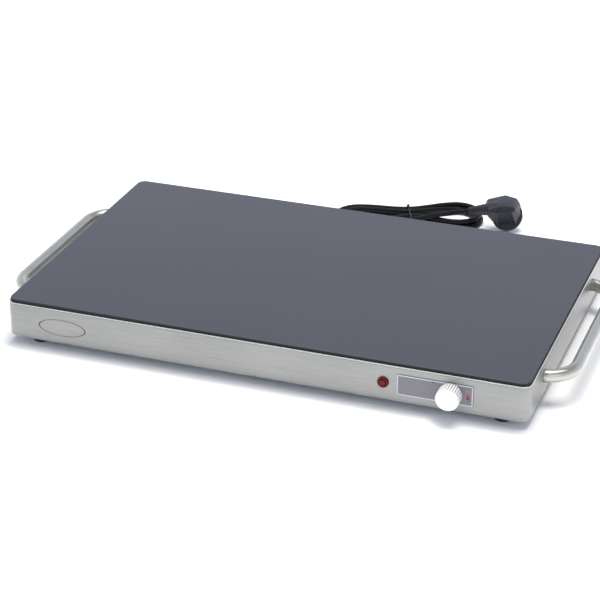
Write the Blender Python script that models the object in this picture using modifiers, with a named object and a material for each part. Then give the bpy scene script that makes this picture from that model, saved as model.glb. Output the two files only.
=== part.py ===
"""Electric food warmer tray: a flat glass-topped warming plate in a stainless housing.

Units are metres and +Z is up. The origin is on the floor, under the middle of the box around
the object without its cord. +X runs along the long side and the controls face -Y.
"""

import math

import bmesh
import bpy
from mathutils import Matrix, Vector

PART_COLLECTION = "electric_food_warmer_tray"
CUTTER_COLLECTION = "cutters"

# Fits and overruns
FIT = 0.0003                    # kept between faces that touch
OVERRUN = 0.003                 # how far a cutter passes the face it cuts
MERGE_DISTANCE = 0.00001        # vertices closer than this are one
HALF_TURN = math.pi
QUARTER_TURN = math.pi / 2

# Housing shell, a folded and welded stainless band with a flange above and a lip below
BODY_LENGTH = 0.600
BODY_DEPTH = 0.368
BODY_HEIGHT = 0.0397
SHELL_SHEET = 0.0010
SHELL_CORNER = 0.0110
SHELL_TOP_BEND = 0.0018
SHELL_FOOT_BEND = 0.0014
FLANGE_WIDTH = 0.0095
GROUND_CLEARANCE = 0.0100       # floor to the lower edge of the shell

# Glass top, its silicone seal and the aluminium heat spreader under it
GLASS_MARGIN = 0.0015           # glass edge to the outer face of the shell
GLASS_THICKNESS = 0.0040
GLASS_EDGE_ROUND = 0.0007
SEAL_WIDTH = 0.0035
SPREADER_THICKNESS = 0.0012
SPREADER_CLEARANCE = 0.0040     # spreader edge to the tray wall

# Element tray, hung under the end flanges, with its insulation
CONTROL_BAY = 0.050             # free depth in front of the tray and behind it
END_BAY = 0.024                 # free length at each end of the tray
TRAY_SHEET = 0.0008
TRAY_DROP = 0.0185
TRAY_CORNER = 0.0060
TRAY_RIM_GAP = 0.0020           # tray rim to the inside of the shell

# Tubular element: runs joined by half circles, with both cold ends at the right
ELEMENT_DIAMETER = 0.0065
ELEMENT_RUNS = 6
ELEMENT_SIDE_MARGIN = 0.034     # outermost runs to the long walls of the tray
ELEMENT_END_MARGIN = 0.012      # outermost bend to the left wall of the tray
ELEMENT_COLD_END = 0.006        # how far the cold ends pass the right wall of the tray
ELEMENT_BEND_STEPS = 8
CLAMP_COUNT = 3
CLAMP_WIDTH = 0.014
CLAMP_SHEET = 0.0010
CLAMP_FROM_END = 0.130          # end of the shell to the middle of an outer strap
CLAMP_SIDE_GAP = 0.0020

# Sensor bulb of the thermostat, between the two front runs, with its capillary
BULB_DIAMETER = 0.0060
BULB_LENGTH = 0.075
BULB_FROM_END = 0.115           # right end of the shell to the right end of the bulb
BULB_NIPPLE = 0.0012            # radius of the bulb's turned-down neck
CAPILLARY_DIAMETER = 0.0018
MAT_CLEARANCE = 0.0018           # clamps to the mat, where the capillary passes

# Base plate and what fastens it
BASE_SHEET = 0.0008
BASE_MARGIN = 0.0015
BASE_STEP_INSET = 0.046
BASE_STEP_RUN = 0.005
BASE_STEP_RISE = 0.0030
VENT_LENGTH = 0.036
VENT_WIDTH = 0.0040
VENT_PITCH = 0.011
VENT_COUNT = 6
VENT_GROUP_SHARE = 0.27         # of the body length, from the middle to a group of vents
BASE_SCREW_INSET = 0.0062
BASE_SCREW_RADIUS = 0.0015
BASE_SCREW_HEAD = 0.0030
BASE_SCREW_HEAD_HEIGHT = 0.0016
BASE_SCREW_LENGTH = 0.0060

# Rubber feet
FOOT_FROM_END = 0.032
FOOT_FROM_FACE = 0.0195
FOOT_RADIUS = 0.0095
FOOT_TOP_RADIUS = 0.0085
FOOT_EDGE = 0.0012
FOOT_POCKET_RADIUS = 0.0048
FOOT_POCKET_DEPTH = 0.0040
FOOT_SCREW_RADIUS = 0.0020
FOOT_SCREW_HEAD = 0.0038
FOOT_SCREW_HEAD_HEIGHT = 0.0020
FOOT_SCREW_LENGTH = 0.0120

# Bar handles on the short sides
HANDLE_DIAMETER = 0.0150
HANDLE_HALF_SPAN = 0.120        # middle of the side to where the bar heads straight out
HANDLE_STANDOFF = 0.028         # shell to the middle of the bar
HANDLE_BEND = 0.035
HANDLE_BEND_STEPS = 10
HANDLE_STUB = 0.0020            # straight end that meets the shell squarely
HANDLE_RISE = 0.0030            # above the middle of the wall
HANDLE_SCREW_RADIUS = 0.0022
HANDLE_SCREW_HEAD = 0.0045
HANDLE_SCREW_HEAD_HEIGHT = 0.0025
HANDLE_SCREW_GRIP = 0.0120      # how deep the screw goes into the bar

# Control knob, its shaft and thermostat
KNOB_FROM_END = 0.0837          # right end of the shell to the knob's axis
KNOB_RADIUS = 0.0130
KNOB_LENGTH = 0.0147
KNOB_STANDOFF = 0.0013
KNOB_FLUTES = 28
KNOB_FLUTE_DEPTH = 0.0006
KNOB_POINTS_PER_FLUTE = 3
KNOB_FACE_CHAMFER = 0.0009
KNOB_SKIRT_RADIUS = 0.0095      # hollow that clears the nut
KNOB_SKIRT_DEPTH = 0.0050
KNOB_FACE_DISH = 0.0006
KNOB_FACE_RIM = 0.0018
SHAFT_RADIUS = 0.0030
SHAFT_FLAT_DEPTH = 0.0009
SHAFT_ENTRY = 0.0060            # how far the shaft goes into the knob beyond the skirt hollow
BUSHING_RADIUS = 0.0050
BUSHING_WALL_GAP = 0.0004
NUT_ACROSS_CORNERS = 0.0160
NUT_THICKNESS = 0.0018
THERMOSTAT_WIDTH = 0.034
THERMOSTAT_DEPTH = 0.024
THERMOSTAT_HEIGHT = 0.026
THERMOSTAT_CORNER = 0.0030
THERMOSTAT_SOCKET = 0.0080      # depth of the shaft's socket in the body
BLADE_LENGTH = 0.0080
BLADE_WIDTH = 0.0060
BLADE_THICKNESS = 0.0012
BLADE_OFFSET = 0.0090
BLADE_ROOT = 0.0020             # length of each blade inside the body

# Control label and pilot lamp
LABEL_FROM_END = 0.0594         # right end of the shell to the right end of the label
LABEL_LENGTH = 0.0836
LABEL_HEIGHT = 0.0246
LABEL_THICKNESS = 0.0004
LABEL_CORNER = 0.0020
LAMP_FROM_END = 0.158
LENS_RADIUS = 0.0062
LENS_CROWN = 0.0024
LENS_RIM = 0.0010
LENS_STEM_RADIUS = 0.0045
LAMP_HOLE_GAP = 0.0004
LAMP_FLANGE_RADIUS = 0.0070
LAMP_FLANGE_HEIGHT = 0.0020
LAMP_BARREL_RADIUS = 0.0048
LAMP_BARREL_LENGTH = 0.020

# Supply end: bushing in the rear wall, terminal block and earth stud
GLAND_FROM_END = 0.105          # left end of the shell to the cord bushing
GLAND_HOLE_RADIUS = 0.0070
GLAND_FLANGE_RADIUS = 0.0095
GLAND_FLANGE_HEIGHT = 0.0025
GLAND_TAPER_LENGTH = 0.020
GLAND_ROOT_RADIUS = 0.0068
GLAND_TIP_RADIUS = 0.0046
GLAND_GROOVES = 4
GLAND_GROOVE_DEPTH = 0.0008
GLAND_GROOVE_SHARE = 0.55       # of each pitch that stays proud
GLAND_INNER_LENGTH = 0.0070
GLAND_INNER_RADIUS = 0.0066
BLOCK_LENGTH = 0.036
BLOCK_DEPTH = 0.018
BLOCK_HEIGHT = 0.013
BLOCK_FROM_GLAND = 0.052
BLOCK_FROM_WALL = 0.024
BLOCK_POLES = 3
BLOCK_TOWER_RADIUS = 0.0040
BLOCK_TOWER_HEIGHT = 0.0040
BLOCK_WIRE_HOLE = 0.0017
BLOCK_SCREW_HOLE = 0.0020
BLOCK_HOLE_DEPTH = 0.0050
STUD_FROM_GLAND = 0.030
STUD_FROM_WALL = 0.022
STUD_RADIUS = 0.0020
STUD_HEIGHT = 0.0100
STUD_NUT_CORNERS = 0.0080
STUD_NUT_HEIGHT = 0.0032
WIRE_DIAMETER = 0.0024
WIRE_STEP = 0.016               # between the points of a long wire
WIRE_SHORT_STEP = 0.008
WIRE_STRAIGHT = 0.0060          # straight length at each terminal
WIRE_ENTRY = 0.0030             # how deep a wire goes into the terminal block
WIRE_GAP = 0.0004               # wire end to a flat terminal
LANE_LOW_SHARE = 0.17           # heights of the two lanes between the base plate's step and the tray
LANE_HIGH_SHARE = 0.55
LANE_SLACK = 0.0100             # how far a wire swings clear of what it passes
LANE_END = 0.0105               # wires beside the tray's right end, in from the shell's end
LANE_UNDER = 0.0200             # wires under the tray, in from its edge
CAPILLARY_STEP = 0.007
CAPILLARY_RISE = 0.0060         # its inlet above the thermostat's middle

# Mains cord and its hank behind the housing
CORD_DIAMETER = 0.0065
CORD_STEP = 0.0150              # between the points of the free stretch
# Free stretch, as places from the bushing's mouth along X and Y and from the floor line along Z
CORD_DROP_ROUTE = ((0.0013, 0.0180, 0.0240), (0.0046, 0.0278, 0.0170), (0.0100, 0.0352, 0.0086),
                   (0.0195, 0.0412, 0.0024), (0.0340, 0.0450, 0.0), (0.0560, 0.0436, 0.0),
                   (0.0800, 0.0322, 0.0), (0.1040, 0.0128, 0.0), (0.1302, -0.0006, 0.0))
CORD_RUN_IN = 0.030             # nearly straight length before the hank
HANK_FROM_GLAND = (0.222, 0.104)  # cord bushing at the rear wall to the hank's tie, along X and Y
HANK_TURN = math.radians(24.0)  # hank's long axis from +X
HANK_RUN = 0.125
HANK_FOLD_RADIUS = 0.021
HANK_LOOP_STEP = 0.0080
HANK_LAYER_STEP = 0.0071
HANK_LOOPS = 3.0
HANK_POINTS_PER_LOOP = 24
HANK_FOLD_POINTS = 7
HANK_TIE_LIFT = 0.0024
HANK_FLOOR_GAP = 0.0002
HANK_TAIL_STEP = 0.0105         # between the points of the end that rises to the plug
# End of the hank that rises to the plug, in the hank's own frame
HANK_TAIL_ROUTE = ((0.008, -0.0186, 0.0128), (0.021, -0.0208, 0.0162), (0.035, -0.0208, 0.0190),
                   (0.049, -0.0190, 0.0193))
TIE_DIAMETER = 0.0013
TIE_GAP = 0.0006
TIE_TAIL = 0.0070
TIE_TAIL_SPREAD = 0.0030
TIE_FLANK_SHARE = 0.60          # of a run, to the cord's points beside the tie
TIE_TWIST_SHARE = 0.35          # where along the far half the ends stand up

# Angled two-pin plug, resting on its lower pin with its pins pointing back and down
PLUG_FROM_GLAND = (0.3454, 0.1210, 0.0215)  # cord bushing at the floor to the round part's back face
PLUG_HEADING = math.radians(-6.0)       # pins from +Y towards +X
PLUG_DIP = math.radians(25.0)           # pins below level
PLUG_ROLL = math.radians(10.5)          # neck end below level
PLUG_FACE_RADIUS = 0.0200
PLUG_FACE_THICKNESS = 0.0085
PLUG_FACE_EDGE = 0.0012
PLUG_GRIP_LENGTH = 0.0240
PLUG_GRIP_SIZE = 0.0255                 # middle to the top ridge of the grip
PLUG_GRIP_SHARES = ((0.0, 1.0), (-0.84, 0.82), (-0.94, 0.50), (-0.76, -0.10), (-0.40, -0.62),
                    (0.42, -0.62), (0.70, -0.10), (0.68, 0.56), (0.52, 0.87))
PLUG_GRIP_BACK_SHARE = 0.36             # size of the grip's far end
PLUG_GRIP_EDGE = 0.0014
PLUG_NECK_RISE = 0.0088                 # neck's axis above the middle, towards the ridge
PLUG_NECK_BACK = 0.0085                 # neck's axis behind the round part
PLUG_NECK_REACH = 0.0460                # middle to the neck's end
PLUG_NECK_TIP = 0.0046
PLUG_NECK_WAIST = 0.0060
PLUG_NECK_ROOT = 0.0072
PLUG_RIBBED_LENGTH = 0.0105
PLUG_RIBS = 3
PLUG_RIB_DEPTH = 0.0008
PLUG_PIN_RADIUS = 0.0024
PLUG_PIN_LENGTH = 0.019
PLUG_PIN_PITCH = 0.019
PLUG_PIN_SOCKET = 0.0040
PLUG_EARTH_HOLE = 0.0028
PLUG_EARTH_DEPTH = 0.0080
PLUG_EARTH_OFFSET = 0.0100

# Heights and faces that follow from the sizes above
KNOB_REACH = KNOB_STANDOFF + KNOB_LENGTH
BODY_Y = KNOB_REACH / 2
FRONT = BODY_Y - BODY_DEPTH / 2
REAR = BODY_Y + BODY_DEPTH / 2
END = BODY_LENGTH / 2
SHELL_BOTTOM = GROUND_CLEARANCE
SHELL_TOP = SHELL_BOTTOM + BODY_HEIGHT
FLANGE_BOTTOM = SHELL_TOP - SHELL_SHEET
CONTROL_HEIGHT = SHELL_BOTTOM + BODY_HEIGHT / 2
GLASS_BOTTOM = SHELL_TOP + FIT
BASE_TOP = SHELL_BOTTOM - FIT
BASE_BOTTOM = BASE_TOP - BASE_SHEET
SPREADER_BOTTOM = GLASS_BOTTOM - FIT - SPREADER_THICKNESS
TRAY_TOP = FLANGE_BOTTOM - FIT
TRAY_FLOOR = TRAY_TOP - TRAY_DROP
TRAY_LENGTH = BODY_LENGTH - 2 * END_BAY
TRAY_DEPTH = BODY_DEPTH - 2 * CONTROL_BAY
ELEMENT_PITCH = (TRAY_DEPTH - 2 * ELEMENT_SIDE_MARGIN) / (ELEMENT_RUNS - 1)
ELEMENT_RADIUS = ELEMENT_DIAMETER / 2
ELEMENT_HEIGHT = SPREADER_BOTTOM - FIT - ELEMENT_RADIUS
CLAMP_TOP = ELEMENT_HEIGHT - ELEMENT_RADIUS - FIT
MAT_TOP = CLAMP_TOP - CLAMP_SHEET - MAT_CLEARANCE
KNOB_X = END - KNOB_FROM_END
LAMP_X = END - LAMP_FROM_END
INNER_FRONT = FRONT + SHELL_SHEET
INNER_REAR = REAR - SHELL_SHEET
GLAND_X = GLAND_FROM_END - END
LABEL_FACE = FRONT - FIT - LABEL_THICKNESS

# Turns that lay a piece made along +Z towards another side
TO_FRONT = (QUARTER_TURN, 0, 0)
TO_REAR = (-QUARTER_TURN, 0, 0)
TO_RIGHT = (0, QUARTER_TURN, 0)
TO_LEFT = (0, -QUARTER_TURN, 0)
UPRIGHT = (0, 0, 0)


def start_scene():
    """Clear the scene and make the collections for the parts and for the cutters."""
    for obj in list(bpy.data.objects):
        bpy.data.objects.remove(obj, do_unlink=True)
    for name in (PART_COLLECTION, CUTTER_COLLECTION):
        if name not in bpy.data.collections:
            made = bpy.data.collections.new(name)
            bpy.context.scene.collection.children.link(made)


def finish_of(name, colour, roughness, metallic):
    """A Principled material with the part's colour and finish."""
    made = bpy.data.materials.new(name)
    made.use_nodes = True
    shader = made.node_tree.nodes["Principled BSDF"]
    shader.inputs["Base Color"].default_value = (*colour, 1.0)
    shader.inputs["Roughness"].default_value = roughness
    shader.inputs["Metallic"].default_value = metallic
    made.diffuse_color = (*colour, 1.0)
    return made


def place(name, data, material, at=(0, 0, 0), turn=UPRIGHT, where=PART_COLLECTION):
    """Link a mesh or curve to the scene as a named object."""
    obj = bpy.data.objects.new(name, data)
    bpy.data.collections[where].objects.link(obj)
    obj.location = at
    obj.rotation_euler = turn
    if material is not None and not data.materials:
        data.materials.append(material)
    return obj


def mesh_of(name, bm):
    """Turn a bmesh into a mesh with outward normals."""
    bmesh.ops.recalc_face_normals(bm, faces=bm.faces)
    mesh = bpy.data.meshes.new(name)
    bm.to_mesh(mesh)
    bm.free()
    return mesh


def shade(mesh, angle=math.radians(35)):
    """Smooth shading with the real corners kept sharp."""
    mesh.shade_smooth()
    mesh.set_sharp_from_angle(angle=angle)


def settle(obj):
    """Replace an object's data by the mesh that its modifiers or bevel give."""
    bpy.context.view_layer.update()
    seen = obj.evaluated_get(bpy.context.evaluated_depsgraph_get())
    mesh = bpy.data.meshes.new_from_object(seen)
    mesh.name = obj.name
    weld = bmesh.new()
    weld.from_mesh(mesh)
    bmesh.ops.remove_doubles(weld, verts=weld.verts, dist=MERGE_DISTANCE)
    weld.to_mesh(mesh)
    weld.free()
    shade(mesh)
    name, matrix = obj.name, obj.matrix_world.copy()
    where = obj.users_collection[0].name
    bpy.data.objects.remove(obj, do_unlink=True)
    mesh_object = place(name, mesh, None, where=where)
    mesh_object.matrix_world = matrix
    return mesh_object


def block(name, size, corner=0.0, steps=4):
    """A box around its own middle, its upright edges rounded."""
    bm = bmesh.new()
    bmesh.ops.create_cube(bm, size=1.0)
    bmesh.ops.scale(bm, vec=Vector(size), verts=bm.verts)
    if corner:
        upright = [e for e in bm.edges if abs(e.verts[0].co.z - e.verts[1].co.z) > size[2] / 2]
        bmesh.ops.bevel(bm, geom=upright, offset=corner, segments=steps, profile=0.5, affect="EDGES")
    return mesh_of(name, bm)


def round_edges(obj, width, steps=2):
    """Round the edges of an object that turn by more than 30 degrees."""
    bevel = obj.modifiers.new("rounded edges", "BEVEL")
    bevel.width = width
    bevel.segments = steps
    bevel.limit_method = "ANGLE"
    bevel.angle_limit = math.radians(30)
    return obj


def turned(name, profile, material, at, turn=UPRIGHT, steps=24, ring=False, where=PART_COLLECTION):
    """Turn a profile of (radius, height) points round Z. A ring's profile closes on itself."""
    bm = bmesh.new()
    verts = [bm.verts.new((radius, 0, height)) for radius, height in profile]
    pairs = list(zip(verts, verts[1:]))
    if ring:
        pairs.append((verts[-1], verts[0]))
    for pair in pairs:
        bm.edges.new(pair)
    mesh = bpy.data.meshes.new(name)
    bm.to_mesh(mesh)
    bm.free()
    obj = place(name, mesh, material, where=where)
    screw = obj.modifiers.new("turned", "SCREW")
    screw.axis = "Z"
    screw.steps = steps
    screw.render_steps = steps
    screw.use_merge_vertices = True
    screw.merge_threshold = MERGE_DISTANCE
    obj = settle(obj)
    obj.location = at
    obj.rotation_euler = turn
    return obj


def rod(radius, length):
    """Profile of a plain rod from 0 up to its length."""
    return [(0, length), (radius, length), (radius, 0), (0, 0)]


def cutter(name, mesh, at, turn=UPRIGHT):
    """A hidden object that only cuts others."""
    obj = place(name, mesh, None, at, turn, where=CUTTER_COLLECTION)
    obj.hide_render = True
    obj.display_type = "WIRE"
    return obj


def drill(name, radius, length, at, turn=UPRIGHT, sides=20):
    """A cylindrical cutter that starts at its place and runs along its own +Z."""
    bm = bmesh.new()
    bmesh.ops.create_cone(bm, cap_ends=True, segments=sides, radius1=radius, radius2=radius, depth=length)
    bmesh.ops.translate(bm, verts=bm.verts, vec=(0, 0, length / 2))
    return cutter(name, mesh_of(name, bm), at, turn)


def cut(obj, tool, operation="DIFFERENCE"):
    """Cut an object by a tool, or join the tool to it."""
    made = obj.modifiers.new(operation.lower(), "BOOLEAN")
    made.operation = operation
    made.object = tool
    made.solver = "EXACT"
    return obj


def hide_tool(tool):
    """Move a piece that has been joined into another to the cutters."""
    for home in list(tool.users_collection):
        home.objects.unlink(tool)
    bpy.data.collections[CUTTER_COLLECTION].objects.link(tool)
    tool.hide_render = True
    tool.display_type = "WIRE"
    return tool


def tube(name, points, diameter, material, sides=2, closed=False):
    """A round tube with filled ends through the given points."""
    data = bpy.data.curves.new(name, "CURVE")
    data.dimensions = "3D"
    data.bevel_depth = diameter / 2
    data.bevel_resolution = sides
    data.use_fill_caps = not closed
    spline = data.splines.new("POLY")
    spline.points.add(len(points) - 1)
    for point, at in zip(spline.points, points):
        point.co = (*at, 1.0)
    spline.use_cyclic_u = closed
    spline.use_smooth = True
    return place(name, data, material)


def smooth_route(route, step):
    """Points at an even step along a smooth curve through the route's own points."""
    knots = [Vector(p) for p in route]
    knots = [2 * knots[0] - knots[1]] + knots + [2 * knots[-1] - knots[-2]]
    fine = []
    for a, b, c, d in zip(knots, knots[1:], knots[2:], knots[3:]):
        count = 24
        for i in range(count):
            t = i / count
            fine.append(0.5 * (2 * b + (c - a) * t + (2 * a - 5 * b + 4 * c - d) * t * t
                               + (3 * b - a - 3 * c + d) * t ** 3))
    fine.append(knots[-2])
    reach = [0.0]
    for p, q in zip(fine, fine[1:]):
        reach.append(reach[-1] + (q - p).length)
    total = reach[-1]
    count = max(2, round(total / step))
    points, k = [], 0
    for i in range(count + 1):
        target = total * i / count
        while k < len(reach) - 2 and reach[k + 1] < target:
            k += 1
        points.append(fine[k].lerp(fine[k + 1], min((target - reach[k]) / (reach[k + 1] - reach[k]), 1.0)))
    return points


def outline(length, depth, corner, steps=4):
    """Points of a rectangle with rounded corners, anticlockwise about the origin."""
    points = []
    for turn, sx, sy in ((0, 1, 1), (1, -1, 1), (2, -1, -1), (3, 1, -1)):
        for i in range(steps + 1):
            angle = QUARTER_TURN * (turn + i / steps)
            points.append((sx * (length / 2 - corner) + corner * math.cos(angle),
                           sy * (depth / 2 - corner) + corner * math.sin(angle)))
    return points


def flat_curve(name, outlines, thickness, material, at, turn=UPRIGHT):
    """A flat sheet from an outline and any holes in it, centred on its thickness."""
    data = bpy.data.curves.new(name, "CURVE")
    data.dimensions = "2D"
    data.fill_mode = "BOTH"
    data.extrude = thickness / 2
    for points in outlines:
        spline = data.splines.new("POLY")
        spline.points.add(len(points) - 1)
        for point, (x, y) in zip(spline.points, points):
            point.co = (x, y, 0, 1.0)
        spline.use_cyclic_u = True
    return settle(place(name, data, material, at, turn))


def ring_points(radius, sides, centre=(0, 0)):
    """Points of a circle."""
    return [(centre[0] + radius * math.cos(2 * HALF_TURN * i / sides),
             centre[1] + radius * math.sin(2 * HALF_TURN * i / sides)) for i in range(sides)]


def handle_path(side):
    """Middle line of a handle: square off the shell, round a bend, along, and back."""
    wall = END + FIT
    centre = END + HANDLE_STANDOFF - HANDLE_BEND
    height = CONTROL_HEIGHT + HANDLE_RISE
    first = math.asin((wall + HANDLE_STUB - centre) / HANDLE_BEND)
    half = []
    for i in range(HANDLE_BEND_STEPS + 1):
        angle = first + (QUARTER_TURN - first) * i / HANDLE_BEND_STEPS
        half.append((centre + HANDLE_BEND * math.sin(angle),
                     HANDLE_HALF_SPAN - HANDLE_BEND + HANDLE_BEND * math.cos(angle)))
    half.insert(0, (wall, half[0][1]))
    path = [(side * x, BODY_Y - y, height) for x, y in half]
    path += [(side * x, BODY_Y + y, height) for x, y in reversed(half)]
    return path


def handle_foot():
    """Distance from the middle of the side to where a handle meets the shell."""
    return abs(handle_path(1)[0][1] - BODY_Y)


def build_housing(steel):
    """Open band with rounded corners: flange above, lip below, walls with their holes."""
    mesh_size = Vector((BODY_LENGTH, BODY_DEPTH, BODY_HEIGHT))
    bm = bmesh.new()
    bmesh.ops.create_cube(bm, size=1.0)
    bmesh.ops.scale(bm, vec=mesh_size, verts=bm.verts)
    upright = [e for e in bm.edges if abs(e.verts[0].co.z - e.verts[1].co.z) > BODY_HEIGHT / 2]
    bmesh.ops.bevel(bm, geom=upright, offset=SHELL_CORNER, segments=6, profile=0.5, affect="EDGES")
    for side, bend, bends in ((1, SHELL_TOP_BEND, 3), (-1, SHELL_FOOT_BEND, 2)):
        cap = max(bm.faces, key=lambda f: side * f.calc_center_median().z)
        bmesh.ops.inset_region(bm, faces=[cap], thickness=FLANGE_WIDTH, use_even_offset=True)
        rim = [e for e in bm.edges
               if all(abs(v.co.z - side * BODY_HEIGHT / 2) < FIT for v in e.verts)
               and not any(f is cap for f in e.link_faces)
               and any(abs(f.normal.z) < 0.5 for f in e.link_faces)]
        bmesh.ops.delete(bm, geom=[cap], context="FACES")
        bmesh.ops.bevel(bm, geom=rim, offset=bend, segments=bends, profile=0.5, affect="EDGES")
    shell = place("housing_shell", mesh_of("housing_shell", bm), steel,
                  (0, BODY_Y, SHELL_BOTTOM + BODY_HEIGHT / 2))
    wall = shell.modifiers.new("sheet", "SOLIDIFY")
    wall.thickness = SHELL_SHEET
    wall.offset = -1
    wall.use_even_offset = True
    through = SHELL_SHEET + 2 * OVERRUN
    cut(shell, drill("shaft_hole", BUSHING_RADIUS + BUSHING_WALL_GAP, through,
                     (KNOB_X, FRONT - OVERRUN, CONTROL_HEIGHT), TO_REAR))
    cut(shell, drill("lamp_hole", LENS_STEM_RADIUS + LAMP_HOLE_GAP, through,
                     (LAMP_X, FRONT - OVERRUN, CONTROL_HEIGHT), TO_REAR))
    cut(shell, drill("gland_hole", GLAND_HOLE_RADIUS, through,
                     (GLAND_X, REAR + OVERRUN, CONTROL_HEIGHT), TO_FRONT))
    for side, turn in ((-1, TO_RIGHT), (1, TO_LEFT)):
        for way in (-1, 1):
            cut(shell, drill("handle_hole", HANDLE_SCREW_RADIUS + FIT, through,
                             (side * (END + OVERRUN), BODY_Y + way * handle_foot(),
                              CONTROL_HEIGHT + HANDLE_RISE), turn, sides=12))
    for x, y in base_screw_places():
        cut(shell, drill("lip_hole", BASE_SCREW_RADIUS + FIT, through,
                         (x, y, SHELL_BOTTOM - OVERRUN), sides=12))
    return shell


def base_screw_places():
    """One base screw in the middle of each side."""
    return [(0, FRONT + BASE_SCREW_INSET), (0, REAR - BASE_SCREW_INSET),
            (-END + BASE_SCREW_INSET, BODY_Y), (END - BASE_SCREW_INSET, BODY_Y)]


def foot_places():
    """Foot name ends and places."""
    x, y = END - FOOT_FROM_END, BODY_DEPTH / 2 - FOOT_FROM_FACE
    return [("front_left", -x, BODY_Y - y), ("front_right", x, BODY_Y - y),
            ("rear_left", -x, BODY_Y + y), ("rear_right", x, BODY_Y + y)]


def build_top(glass, silicone, aluminium):
    """Glass plate, the seal that beds it on the flange, and the heat spreader."""
    plate = place("glass_top",
                  block("glass_top", (BODY_LENGTH - 2 * GLASS_MARGIN, BODY_DEPTH - 2 * GLASS_MARGIN,
                                      GLASS_THICKNESS), SHELL_CORNER - GLASS_MARGIN, steps=6),
                  glass, (0, BODY_Y, GLASS_BOTTOM + GLASS_THICKNESS / 2))
    round_edges(plate, GLASS_EDGE_ROUND)
    opening_length = BODY_LENGTH - 2 * FLANGE_WIDTH - 2 * FIT
    opening_depth = BODY_DEPTH - 2 * FLANGE_WIDTH - 2 * FIT
    corner = SHELL_CORNER - FLANGE_WIDTH
    flat_curve("glass_seal",
               [outline(opening_length, opening_depth, corner),
                outline(opening_length - 2 * SEAL_WIDTH, opening_depth - 2 * SEAL_WIDTH, corner)],
               GLASS_BOTTOM - FIT - FLANGE_BOTTOM, silicone,
               (0, BODY_Y, (GLASS_BOTTOM - FIT + FLANGE_BOTTOM) / 2))
    place("heat_spreader",
          block("heat_spreader", (TRAY_LENGTH - 2 * SPREADER_CLEARANCE, TRAY_DEPTH - 2 * SPREADER_CLEARANCE,
                                  SPREADER_THICKNESS), TRAY_CORNER),
          aluminium, (0, BODY_Y, SPREADER_BOTTOM + SPREADER_THICKNESS / 2))


def element_ends():
    """Y of the first and last run of the element."""
    reach = ELEMENT_PITCH * (ELEMENT_RUNS - 1) / 2
    return BODY_Y - reach, BODY_Y + reach


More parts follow.
